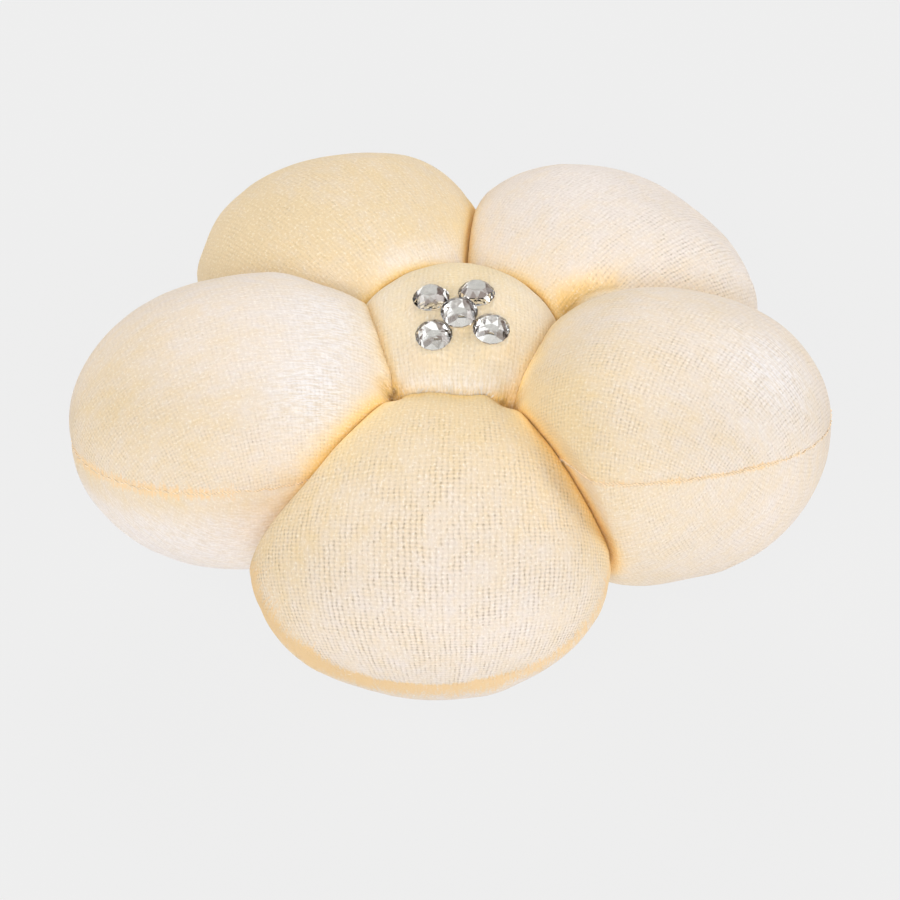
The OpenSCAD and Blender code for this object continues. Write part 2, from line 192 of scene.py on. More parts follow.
def make_mesh(name, verts, faces, material, uv=None, attrs=None, smooth=True):
    """A mesh object from arrays in mm; uv and attrs hold one value per face corner."""
    me = bpy.data.meshes.new(name)
    verts = np.asarray(verts, np.float64) * MM
    me.from_pydata(verts.tolist(), [], [list(map(int, f)) for f in faces])
    for key, values in (uv or {}).items():
        layer = me.uv_layers.new(name=key)
        layer.data.foreach_set("uv", np.asarray(values, np.float32).ravel())
    for key, values in (attrs or {}).items():
        a = me.attributes.new(key, "FLOAT", "CORNER")
        a.data.foreach_set("value", np.asarray(values, np.float32).ravel())
    me.polygons.foreach_set("use_smooth", np.full(len(me.polygons), smooth, bool))
    me.update()
    if material is not None:
        me.materials.append(material)
    ob = bpy.data.objects.new(name, me)
    scene.collection.objects.link(ob)
    return ob


# ---------------------------------------------------------------- shader helpers
class Tree:
    def __init__(self, name):
        self.mat = bpy.data.materials.new(name)
        self.mat.use_nodes = True
        self.t = self.mat.node_tree
        self.t.nodes.clear()
        self.out = self.t.nodes.new("ShaderNodeOutputMaterial")

    def node(self, kind, **sets):
        n = self.t.nodes.new(kind)
        for k, v in sets.items():
            setattr(n, k, v)
        return n

    def link(self, a, b):
        self.t.links.new(a, b)

    def put(self, socket, value):
        if isinstance(value, bpy.types.NodeSocket):
            self.link(value, socket)
        else:
            socket.default_value = value

    def math(self, op, a, b=0.0, c=0.0, clamp=False):
        n = self.node("ShaderNodeMath", operation=op, use_clamp=clamp)
        self.put(n.inputs[0], a)
        self.put(n.inputs[1], b)
        self.put(n.inputs[2], c)
        return n.outputs[0]

    def mix(self, fac, a, b, blend="MIX"):
        n = self.node("ShaderNodeMix", data_type="RGBA", blend_type=blend)
        self.put(n.inputs[0], fac)
        self.put(n.inputs[6], (*a, 1) if isinstance(a, tuple) else a)
        self.put(n.inputs[7], (*b, 1) if isinstance(b, tuple) else b)
        return n.outputs[2]

    def ramp(self, x, lo, hi, a=0.0, b=1.0, smooth=True):
        n = self.node("ShaderNodeMapRange", interpolation_type="SMOOTHSTEP" if smooth else "LINEAR")
        self.put(n.inputs[0], x)
        for k, v in zip((1, 2, 3, 4), (lo, hi, a, b)):
            n.inputs[k].default_value = v
        return n.outputs[0]

    def noise(self, vec, scale, detail=2.0, rough=0.5, out=0, distort=0.0):
        n = self.node("ShaderNodeTexNoise")
        self.link(vec, n.inputs["Vector"])
        n.inputs["Scale"].default_value = scale
        n.inputs["Detail"].default_value = detail
        n.inputs["Roughness"].default_value = rough
        n.inputs["Distortion"].default_value = distort
        return n.outputs[out]

    def attr(self, name):
        return self.node("ShaderNodeAttribute", attribute_name=name).outputs["Fac"]

    def scaled(self, vec, s):
        n = self.node("ShaderNodeVectorMath", operation="MULTIPLY")
        self.link(vec, n.inputs[0])
        n.inputs[1].default_value = s
        return n.outputs[0]

    def xyz(self, vec):
        n = self.node("ShaderNodeSeparateXYZ")
        self.link(vec, n.inputs[0])
        return n.outputs

    def object_mm(self):
        c = self.node("ShaderNodeTexCoord").outputs["Object"]
        return self.scaled(c, (1000, 1000, 1000))


def lin(r, g, b):
    """Linear colour of an sRGB one given from 0 to 255."""
    f = lambda c: c / 12.92 if c <= 0.04045 else ((c + 0.055) / 1.055) ** 2.4
    return (f(r / 255), f(g / 255), f(b / 255))


def velvet(name, pale, deep, crease_shade_colour, pit_shade, seam_root_and_shade, sheen):
    """Stretch velvet: a short pile over a fine knit whose open stitches show as rows of small dark dashes."""
    t = Tree(name)
    knit = t.node("ShaderNodeUVMap", uv_map="knit").outputs[0]
    lay = t.node("ShaderNodeUVMap", uv_map="lay").outputs[0]
    nap, crease, fold, deep_fold_shade, seam, along, arc, white, open_ = (
        t.attr(k) for k in ("nap", "crease", "fold", "deep", "seam", "along", "arc", "white", "open"))

    def spread(noise, lo=0.3, hi=0.7):
        return t.ramp(noise, lo, hi, -1.0, 1.0, smooth=False)

    # broad shades where the pile leans one way or another, with painted warm shade near neighbouring pieces carried in
    # the same field, fine speckle, and brushed fibres painted paler as a sheen highlight
    broad = spread(t.noise(t.scaled(lay, (0.11, 0.2, 1)), 1.0, 3.0, 0.55))
    patch = spread(t.noise(t.scaled(lay, (0.55, 0.8, 1)), 1.0, 4.0, 0.65))
    speck = spread(t.noise(t.scaled(lay, (3.0, 3.6, 1)), 1.0, 2.0, 0.75))
    hair = spread(t.noise(t.scaled(lay, (0.8, 4.6, 1)), 1.0, 2.0, 0.65))

    warm = t.math("ADD", nap, t.math("MULTIPLY", broad, 0.16))
    warm = t.math("ADD", warm, t.math("MULTIPLY", patch, 0.22), clamp=True)
    colour = t.mix(warm, pale, deep)
    # painted highlight: brushed pile drawn paler in streaks, as a sheen highlight
    brushed_sheen = t.math("MULTIPLY", white, t.ramp(hair, -0.6, 0.5, 0.35, 1.0))
    colour = t.mix(t.math("MULTIPLY", brushed_sheen, 0.95, clamp=True), colour, (0.895, 0.875, 0.9))
    # painted shade: warm golden shade in creases, deeper orange in folds and pits, dark brown in the narrowest gaps
    colour = t.mix(t.math("MULTIPLY", crease, t.ramp(patch, -1.0, 1.0, 0.7, 1.05)), colour, crease_shade_colour)
    colour = t.mix(fold, colour, pit_shade)
    colour = t.mix(t.math("MULTIPLY", deep_fold_shade, t.ramp(hair, -0.8, 0.7, 1.0, 0.5)), colour, (0.6, 0.385, 0.14))
    colour = t.mix(t.ramp(deep_fold_shade, 0.76, 1.0, 0.0, 0.7), colour, (0.24, 0.13, 0.045))
    # tips of the pile that catch the light
    colour = t.mix(t.ramp(speck, 0.15, 1.0, 0.0, 0.4), colour, (0.96, 0.92, 0.86))

    # knit: wales every 0.47 mm and courses every 0.4 mm, pulled a little out of line by the stuffing
    bend = t.noise(t.scaled(knit, (0.12, 0.12, 1)), 1.0, 2.0, 0.5, out=1)
    wob = t.node("ShaderNodeVectorMath", operation="MULTIPLY_ADD")
    t.link(bend, wob.inputs[0])
    wob.inputs[1].default_value = (0.6, 0.6, 0)
    t.link(knit, wob.inputs[2])
    x = t.xyz(wob.outputs[0])
    uneven = spread(t.noise(t.scaled(knit, (1.1, 1.4, 1)), 1.0, 1.0, 0.5))
    jitter = t.math("MULTIPLY", uneven, 0.8)
    wale = t.math("COSINE", t.math("ADD", t.math("MULTIPLY", x[1], 2 * math.pi / 0.47), jitter))
    course = t.math("COSINE", t.math("ADD", t.math("MULTIPLY", x[0], 2 * math.pi / 0.4), jitter))
    gap = t.math("POWER", t.math("ADD", t.math("MULTIPLY", wale, 0.5), 0.5), 4.0)
    row = t.math("POWER", t.math("ADD", t.math("MULTIPLY", course, 0.5), 0.5), 1.3)
    rib = t.math("POWER", t.math("ADD", t.math("MULTIPLY", wale, 0.5), 0.5), 1.3)
    hole = t.math("MULTIPLY", gap, t.math("ADD", 0.3, t.math("MULTIPLY", row, 0.7)))
    shown = t.math("MULTIPLY", open_, t.ramp(spread(t.noise(t.scaled(lay, (0.25, 0.32, 1)), 1.0, 4.0, 0.7)), -0.8, 0.8, 0.15, 1.3))
    shown = t.math("MULTIPLY", shown, t.ramp(speck, -0.9, 0.9, 1.35, 0.5))
    shown = t.math("MULTIPLY", shown, t.ramp(uneven, -0.7, 0.7, 0.75, 1.3))
    dark = t.math("MULTIPLY", t.math("MULTIPLY", hole, shown), 0.24)
    weave = t.math("ADD", t.math("MULTIPLY", rib, 0.42), t.math("MULTIPLY", row, 0.58))
    lines = t.math("MULTIPLY", t.math("MULTIPLY", t.math("SUBTRACT", weave, 0.42), t.math("ADD", shown, 0.15)), 0.11)
    # the brushed streaks lift the tone a little more where the painted sheen highlight lies
    streak = t.math("MULTIPLY", hair, t.math("ADD", 0.02, t.math("MULTIPLY", white, 0.05)))
    colour = t.mix(dark, colour, (0.42, 0.28, 0.16))
    tone = t.math("SUBTRACT", 1.0, lines)
    tone = t.math("ADD", tone, t.math("MULTIPLY", speck, 0.036))
    tone = t.math("ADD", tone, streak)
    tone = t.math("ADD", tone, t.math("MULTIPLY", patch, 0.014))
    mul = t.node("ShaderNodeVectorMath", operation="SCALE")
    t.link(colour, mul.inputs[0])
    t.link(tone, mul.inputs["Scale"])
    colour = mul.outputs[0]

    # pile parted along the seam shows the deeper colour at its roots, in short strokes across it; on the front petal
    # the same colour also paints a wide band of shade along the rim
    place = t.node("ShaderNodeCombineXYZ")
    t.link(t.math("MULTIPLY", along, 3.4), place.inputs[0])
    t.link(t.math("MULTIPLY", arc, 0.5), place.inputs[1])
    strokes = spread(t.noise(place.outputs[0], 1.0, 3.0, 0.8))
    far = t.node("ShaderNodeCombineXYZ")
    t.link(t.math("MULTIPLY", along, 0.24), far.inputs[0])
    broken = spread(t.noise(far.outputs[0], 1.0, 2.0, 0.6))
    ragged = t.math("ADD", seam, t.math("ADD", t.math("MULTIPLY", strokes, 0.5), t.math("MULTIPLY", broken, 0.28)))
    ragged = t.math("ADD", ragged, t.math("MULTIPLY", speck, -0.22))
    colour = t.mix(t.math("MULTIPLY", t.ramp(ragged, 0.4, 1.25, 0.0, 0.9), t.ramp(seam, 0.02, 0.3)), colour,
                   t.mix(deep_fold_shade, seam_root_and_shade, (0.6, 0.385, 0.14)))

    height = t.math("ADD", t.math("MULTIPLY", hole, t.math("MULTIPLY", shown, -0.8)), t.math("MULTIPLY", speck, 0.3))
    height = t.math("ADD", height, t.math("MULTIPLY", hair, t.math("ADD", 0.12, t.math("MULTIPLY", white, 0.3))))
    bump = t.node("ShaderNodeBump")
    bump.inputs["Strength"].default_value = 0.6
    bump.inputs["Distance"].default_value = 0.00012
    t.link(height, bump.inputs["Height"])

    b = t.node("ShaderNodeBsdfPrincipled")
    t.link(colour, b.inputs["Base Color"])
    t.link(bump.outputs[0], b.inputs["Normal"])
    b.inputs["Roughness"].default_value = 0.85
    b.inputs["Specular IOR Level"].default_value = 0.12
    b.inputs["Sheen Weight"].default_value = sheen
    b.inputs["Sheen Roughness"].default_value = 0.45
    b.inputs["Sheen Tint"].default_value = (1.0, 0.95, 0.9, 1)
    t.link(b.outputs[0], t.out.inputs[0])
    return t.mat


def thread_material(name, colour):
    t = Tree(name)
    pos = t.object_mm()
    twist = t.node("ShaderNodeTexWave", wave_type="BANDS", bands_direction="DIAGONAL")
    t.link(pos, twist.inputs["Vector"])
    twist.inputs["Scale"].default_value = 1.6
    twist.inputs["Distortion"].default_value = 1.5
    grain = t.noise(pos, 2.2, 3.0, 0.6)
    tone = t.math("MULTIPLY", t.math("ADD", 0.78, t.math("MULTIPLY", twist.outputs[1], 0.3)), t.ramp(grain, 0.2, 0.8, 0.85, 1.1))
    mul = t.node("ShaderNodeVectorMath", operation="SCALE")
    mul.inputs[0].default_value = colour
    t.link(tone, mul.inputs["Scale"])
    bump = t.node("ShaderNodeBump")
    bump.inputs["Strength"].default_value = 0.6
    bump.inputs["Distance"].default_value = 0.00006
    t.link(twist.outputs[1], bump.inputs["Height"])
    b = t.node("ShaderNodeBsdfPrincipled")
    t.link(mul.outputs[0], b.inputs["Base Color"])
    t.link(bump.outputs[0], b.inputs["Normal"])
    b.inputs["Roughness"].default_value = 0.6
    b.inputs["Sheen Weight"].default_value = 0.3
    t.link(b.outputs[0], t.out.inputs[0])
    return t.mat


def felt_material(name, colour):
    t = Tree(name)
    pos = t.object_mm()
    cloud = t.noise(pos, 0.35, 4.0, 0.65)
    fibre = t.noise(t.scaled(pos, (2.5, 0.8, 2.0)), 1.3, 4.0, 0.75, distort=2.5)
    fleck = t.noise(t.scaled(pos, (0.8, 2.5, 2.0)), 1.6, 4.0, 0.75, distort=2.5)
    tone = t.math("ADD", 0.72, t.math("MULTIPLY", cloud, 0.2))
    tone = t.math("ADD", tone, t.math("MULTIPLY", t.ramp(fibre, 0.35, 0.7), 0.16))
    tone = t.math("ADD", tone, t.math("MULTIPLY", t.ramp(fleck, 0.35, 0.7), 0.12))
    mul = t.node("ShaderNodeVectorMath", operation="SCALE")
    mul.inputs[0].default_value = colour
    t.link(tone, mul.inputs["Scale"])
    bump = t.node("ShaderNodeBump")
    bump.inputs["Strength"].default_value = 0.7
    bump.inputs["Distance"].default_value = 0.0003
    t.link(t.math("ADD", fibre, fleck), bump.inputs["Height"])
    b = t.node("ShaderNodeBsdfPrincipled")
    t.link(mul.outputs[0], b.inputs["Base Color"])
    t.link(bump.outputs[0], b.inputs["Normal"])
    b.inputs["Roughness"].default_value = 0.95
    b.inputs["Specular IOR Level"].default_value = 0.1
    b.inputs["Sheen Weight"].default_value = 0.25
    t.link(b.outputs[0], t.out.inputs[0])
    return t.mat


def metal_material(name, colour, rough, grain_axis):
    """Nickel-plated strip: fine brushing along one axis, and a little wear and handling haze."""
    t = Tree(name)
    pos = t.object_mm()
    brush = t.noise(t.scaled(pos, grain_axis), 1.0, 4.0, 0.7)
    haze = t.noise(pos, 0.25, 4.0, 0.6)
    speck = t.noise(pos, 3.0, 2.0, 0.5)
    tone = t.math("ADD", 0.86, t.math("MULTIPLY", brush, 0.2))
    tone = t.math("MULTIPLY", tone, t.ramp(haze, 0.25, 0.75, 0.9, 1.03))
    mul = t.node("ShaderNodeVectorMath", operation="SCALE")
    mul.inputs[0].default_value = colour
    t.link(tone, mul.inputs["Scale"])
    r = t.math("ADD", rough, t.math("MULTIPLY", t.math("SUBTRACT", haze, 0.5), 0.25))
    r = t.math("ADD", r, t.math("MULTIPLY", t.math("SUBTRACT", brush, 0.5), 0.15), clamp=True)
    bump = t.node("ShaderNodeBump")
    bump.inputs["Strength"].default_value = 0.25
    bump.inputs["Distance"].default_value = 0.00003
    t.link(t.math("ADD", brush, t.math("MULTIPLY", speck, 0.3)), bump.inputs["Height"])
    b = t.node("ShaderNodeBsdfPrincipled")
    t.link(mul.outputs[0], b.inputs["Base Color"])
    t.link(r, b.inputs["Roughness"])
    t.link(bump.outputs[0], b.inputs["Normal"])
    b.inputs["Metallic"].default_value = 1.0
    t.link(b.outputs[0], t.out.inputs[0])
    return t.mat


def stone_material(name):
    """Clear cut glass with faint scuffs scattered over it."""
    t = Tree(name)
    pos = t.object_mm()
    scuff = t.noise(pos, 4.0, 3.0, 0.6)
    b = t.node("ShaderNodeBsdfPrincipled")
    b.inputs["Base Color"].default_value = (0.97, 0.975, 0.98, 1)
    t.link(t.ramp(scuff, 0.6, 0.85, 0.0, 0.03), b.inputs["Roughness"])
    b.inputs["IOR"].default_value = 1.56
    b.inputs["Transmission Weight"].default_value = 1.0
    t.link(b.outputs[0], t.out.inputs[0])
    return t.mat


def foil_material(name):
    t = Tree(name)
    pos = t.object_mm()
    grain = t.noise(pos, 2.5, 3.0, 0.6)
    mul = t.node("ShaderNodeVectorMath", operation="SCALE")
    mul.inputs[0].default_value = (0.93, 0.925, 0.915)
    t.link(t.ramp(grain, 0.3, 0.8, 0.88, 1.0), mul.inputs["Scale"])
    b = t.node("ShaderNodeBsdfPrincipled")
    t.link(mul.outputs[0], b.inputs["Base Color"])
    t.link(t.ramp(grain, 0.3, 0.8, 0.04, 0.14), b.inputs["Roughness"])
    b.inputs["Metallic"].default_value = 1.0
    t.link(b.outputs[0], t.out.inputs[0])
    return t.mat


VELVET = velvet("velvet", (0.815, 0.722, 0.648), (0.79, 0.622, 0.39), (0.96, 0.73, 0.38), (1.0, 0.70, 0.27), (0.90, 0.635, 0.34), 0.1)
VELVET_CENTRE = velvet("velvet_centre", (0.86, 0.76, 0.645), (0.855, 0.695, 0.445), (0.96, 0.75, 0.41), (1.0, 0.72, 0.30), (0.90, 0.635, 0.34), 0.1)
THREAD = thread_material("seam_thread", (0.93, 0.72, 0.48))
THREAD_PLAIN = thread_material("sewing_thread", (0.85, 0.78, 0.66))
FELT = felt_material("felt", (0.92, 0.82, 0.66))
NICKEL = metal_material("nickel", (0.80, 0.79, 0.77), 0.28, (0.6, 9.0, 9.0))
STEEL = metal_material("steel", (0.68, 0.68, 0.69), 0.34, (6.0, 6.0, 0.8))
WIRE = metal_material("spring_wire", (0.62, 0.62, 0.63), 0.25, (3.0, 3.0, 3.0))
STONE = stone_material("cut_glass")
FOIL = foil_material("mirror_foil")


# ---------------------------------------------------------------- petals
def bump_at(P, x, y, z, r):
    """1 at a point of the flower, falling off over r mm."""
    d = P - np.array([x, y, z])
    return np.exp(-(d * d).sum(-1) / (r * r))


def off_rim(P):
    """How far a point stands off the side of the button."""
    q = P - BUTTON
    high = np.where(q[..., 2] > 0, BUTTON_H, BUTTON_D + 1)
    return np.hypot(q[..., 0], q[..., 1]) - BUTTON_R * np.sqrt(np.maximum(0, 1 - (q[..., 2] / high) ** 2)) - GAP


def off_line(P, line):
    """Distance in plan from a point to a line of points."""
    best = np.full(P.shape[:-1], 1e9)
    for a, b in zip(np.array(line[:-1]), np.array(line[1:])):
        d = b - a
        k = np.clip(((P[..., :2] - a) @ d) / (d @ d), 0, 1)
        best = np.minimum(best, np.linalg.norm(P[..., :2] - a - k[..., None] * d, axis=-1))
    return best


# fold of the pocket where the back right petal tucks in behind the right one: dented into the shape and painted with
# shade
POCKET = [[10.7, 5.3], [12.0, 6.5], [14.0, 7.0], [15.8, 7.3]]
# pits where the button's front corners and three petals meet
CORNERS = [[-7.5, -9.3], [4.7, -10.5]]


def gathered(P, i):
    """The velvet is drawn up in small gathers where a petal goes in under the button."""
    c = np.maximum(0, off_rim(P))
    q = P - BUTTON
    b = np.arctan2(q[..., 1], q[..., 0])
    ring = np.stack([np.cos(b) * 7.5, np.sin(b) * 7.5, np.full_like(b, 2.1 * i)], -1)
    out = P.copy()
    out[..., 2] += 0.42 * noise3(ring, 120 + i) * np.exp(-c / 2.4) * np.clip(c / 0.8, 0, 1)
    if i == 2:
        out[..., 2] -= 0.5 * bump_at(P, 11.2, 5.2, 4, 2.6) + 1.1 * np.exp(-(off_line(P, POCKET) / 0.9) ** 2)
    if i in (0, 1, 4):
        for x, y in CORNERS:
            out[..., 2] -= 1.4 * np.exp(-((P[..., 0] - x) ** 2 + (P[..., 1] - y) ** 2) / 1.2 ** 2)
    return out


def petal_cap(i, up, t, v):
    """One panel of petal i in the flower's frame, with the small unevenness of a hand-stuffed pad."""
    p = PETALS[i]
    lift = p[5] if up > 0 else p[6]
    r, h = np.sin(np.pi / 2 * v), np.cos(np.pi / 2 * v)
    ct, st = np.cos(t), np.sin(t)
    q = np.stack([p[8] + p[3] * ct * r + p[9] * h * h, p[4] * st * r * (1 + p[10] * ct * r), up * lift * h], -1)
    n = np.stack([ct * r / p[3], st * r / p[4], up * h / lift], -1)
    n /= np.linalg.norm(n, axis=-1, keepdims=True)
    arc = lift * (1 - v) * np.pi / 2
    flat = placed(q, p)
    lumps = 0.32 * fbm(flat / 9.0, 11 + i, 2) + 0.1 * noise3(flat / 3.2, 40 + i)
    ring = np.stack([ct * 17 / 1.5, st * 17 / 1.5, np.full_like(t, 3.7 * i)], -1)
    pull = 0.3 + 0.12 * noise3(ring * 0.5, 60 + i)
    groove = -pull * [0.6, 0.3, 1.0, 1.0, 1.0][i] * np.exp(-(arc / 0.6) ** 2)
    pucker = 0.13 * noise3(ring, 70 + i) * np.exp(-arc / 1.8) * (1 - np.exp(-(arc / 0.5) ** 2))
    full = PILE[i]
    for at, spread, amount in FULLER[i]:
        turn = (np.degrees(t) - at + 180) % 360 - 180
        full = full + amount * np.exp(-(turn / spread) ** 2) * r
    q = q + n * (full + lumps * (1 - np.exp(-(arc / 2.0) ** 2)) + groove + pucker)[..., None]
    return placed(q, p), arc


def petal_fields(i, P, up, arc, t, near):
    """How each point of a petal is coloured: lean of the pile with painted warm shade near its neighbours, painted
    shade in creases, folds and pits, seam with a painted shade band on the front petal, brushed pile with painted sheen
    highlights, and open knit.
    """
    a = -((P - BUTTON) @ side_normal(i)) - GAP
    b = ((P - BUTTON) @ side_normal((i + 4) % 5)) - GAP
    c = off_rim(P)
    # painted shade: warm shade in the creases against the neighbours and the button, a deeper fold colour close in,
    # darkest right at the contact
    crease = (1.0 if i in (0, 4) else 0.9 if i == 1 else 0.65) * np.exp(-near / 1.2) + 0.35 * np.exp(-near / 3.5)
    fold = 0.95 * np.exp(-(near / (1.0 if i in (0, 1, 4) else 0.75)) ** 2)
    deep = [0.25, 0.2 if up > 0 else 0.1, 0.2, 0.2, 0.25][i] * np.exp(-(near / 0.5) ** 2)
    seam = np.exp(-(arc / [0.5, 0.36, 0.5, 0.5, 0.95][i]) ** 2)
    # painted shade: on the front petal's upper panel the seam mark widens towards its sides into a band of shade along
    # the rim
    if i == 0 and up > 0:
        wide = np.abs(np.sin(t)) ** 1.5
        seam = 1.4 * np.exp(-(arc / (0.5 + np.where(t < 0, 3.0, 1.3) * wide)) ** 2)
    nap = np.zeros_like(arc)
    white = np.zeros_like(arc)
    open_ = np.full_like(arc, 0.25 if up > 0 else [0.1, 0.5, 0.1, 0.1, 0.1][i])
    x, y = P[..., 0], P[..., 1]
    if i == 0:
        out = np.clip((-y - 10) / 26, 0, 1)
        # yellower towards the button; the rise against the side planes is painted warm shade where the neighbours press
        nap += (1.05 - 0.85 * out) + 0.3 * np.exp(-np.minimum(a, b) / 4) + 0.3 * bump_at(P, -17, -30, 2, 7)
        open_ += 0.15 + 0.8 * np.clip((-y - 12) / 14, 0, 1)
        # painted shade: a wide orange band on the lower panel along the seam
        if up < 0:
            seam = np.maximum(seam, 1.35 * np.exp(-(arc / 3.2) ** 2))
            open_ *= 0.1
        seam *= 1 - 0.17 * (1 + np.tanh((x - 4) / 7))
        # painted shade: the band is darker towards the left
        deep = np.maximum(deep, (0.2 - 0.1 * np.tanh((x + 7) / 5)) * np.clip(seam, 0, 1))
    elif i == 1:
        # painted warm shade against the neighbour and the button
        nap += 0.25 + 0.6 * np.exp(-np.maximum(0, b) / 7) + 0.6 * np.exp(-np.maximum(0, c) / 7)
        # painted highlight on the right petal's outer ridge
        white += 0.75 * bump_at(P, 31, -11, 10, 6)
        seam *= 0.9 - 0.5 * np.clip((x - 33) / 5, 0, 1)
        beside = np.exp(-(np.maximum(0, c) / 2.5) ** 2) * np.clip((y + 8.5) / 3, 0, 1)
        crease, fold = crease * (1 - 0.7 * beside), fold * (1 - 0.5 * beside)
        if up < 0:
            nap -= 0.12
            crease *= 0.45
            # painted light: the lower panel is painted paler near its neighbours
            white += 0.5 * np.exp(-near / 4)
        else:
            # painted shade: a warm patch on the inner part of the upper panel
            crease += 0.2 * bump_at(P, 10.5, -16, 9.5, 5)
            nap += 0.3 * bump_at(P, 10.5, -16, 9.5, 6)
            open_ += 0.15 + 0.4 * np.clip((-y - 4) / 8, 0, 1) + 0.15 * np.clip((x - 30) / 6, 0, 1)
    elif i == 2:
        # painted warm shade against the button and the neighbour
        nap += 0.05 + 0.35 * np.exp(-np.maximum(0, c) / 3) + 0.3 * np.exp(-np.maximum(0, b) / 3)
        # painted shade in the pocket fold, darkest at its inner end
        line = off_line(P, POCKET)
        end = np.exp(-((x - 10.8) ** 2 + (y - 5.4) ** 2) / 1.5 ** 2)
        crease = 0.7 * crease + 0.5 * end + 0.55 * np.exp(-(line / 1.2) ** 2)
        fold = np.maximum(0.8 * fold, 0.55 * np.exp(-(line / 0.8) ** 2) * np.clip((17.0 - x) / 4, 0, 1) + 0.3 * end)
        deep = np.maximum(deep, 0.5 * np.exp(-(line / 0.6) ** 2) * np.clip((17.0 - x) / 5, 0, 1) + 0.3 * end)
        # painted highlights on the back right petal
        white += 0.35 * bump_at(P, 28, 12, 2, 7) + 0.25 * bump_at(P, 14, 24, 6, 9)
        open_ += 0.2 + 0.8 * bump_at(P, 24, 11, 2, 9)
    elif i == 3:
        nap += 0.85 + 0.3 * bump_at(P, -25, 17, 0, 9)
        # painted highlight: a paler band just off the button, with less crease shade there
        white += 0.4 * np.exp(-((c - 2.0) / 1.7) ** 2) * np.clip((x + 11) / 4, 0, 1)
        nap -= 0.5 * np.exp(-((c - 2.0) / 2.2) ** 2) * np.clip((x + 11) / 4, 0, 1)
        crease *= 1 - 0.5 * np.exp(-(np.maximum(0, c) / 3) ** 2) * np.clip((x + 11) / 4, 0, 1)
        open_ += 0.1
    else:
        nap += 0.15 + 0.4 * bump_at(P, -29, -16, 6, 9) + 0.55 * bump_at(P, -38, -9, 4, 9)
        # painted highlights on the left petal's inner part
        white += 1.0 * bump_at(P, -15, -13, 8, 5) + 0.8 * bump_at(P, -13.5, -3, 9, 6)
        seam *= 1 - 0.7 * np.clip((x + 26) / 4, 0, 1)
        beside = np.exp(-(np.maximum(0, c) / 2.5) ** 2) * np.clip((y + 10.0) / 2, 0, 1)
        # painted highlight beside the button, where less crease shade is painted
        white += 0.8 * beside
        crease, fold = crease * (1 - 0.75 * beside), fold * (1 - 0.35 * beside)
        if up > 0:
            open_ += 0.45 * np.exp(-(arc / 7) ** 2)
        else:
            nap += 0.3 * np.exp(-((arc - 1.8) / 1.6) ** 2) - 0.1
            crease *= 0.55
            # painted light: the lower panel is painted paler near its neighbours and away from the seam
            white += 0.3 * np.exp(-near / 4)
            white += 0.5 * (1 - np.exp(-(arc / 3.5) ** 2))
    # painted shade: dark pits where the button's front corners meet three petals
    if i in (0, 1, 4):
        for (cx, cy), dark in zip(CORNERS, (1.0, 0.9)):
            pit_shade = np.exp(-((x - cx) ** 2 + (y - cy) ** 2) / 1.4 ** 2)
            fold, deep = np.maximum(fold, 0.95 * pit_shade), np.maximum(deep, dark * pit_shade ** 1.5)
    if up < 0 and i != 0:
        nap += 0.12 * np.exp(-(arc / 5) ** 2)
    return {"nap": nap, "crease": np.clip(crease, 0, 1), "fold": fold, "deep": np.clip(deep, 0, 1), "seam": seam, "along": 17.5 * t, "arc": arc + 0 * t,
            "white": np.clip(white, 0, 1), "open": open_}


N = 104
GRID_T, GRID_V = disc(N)
EDGE, UP, DOWN, UPG, DOWNG = two_caps(N)


def knit_map(p, lift, t, v, flip, turn):
    """Flat pattern of a panel in mm: x along the knit, y across it, cut a few degrees off the petal's axis."""
    x, y = quarter(p[3], lift) * v * np.cos(t), flip * quarter(p[4], lift) * v * np.sin(t)
    turn = math.radians(turn)
    return np.stack([x * math.cos(turn) + y * math.sin(turn), y * math.cos(turn) - x * math.sin(turn)], -1)


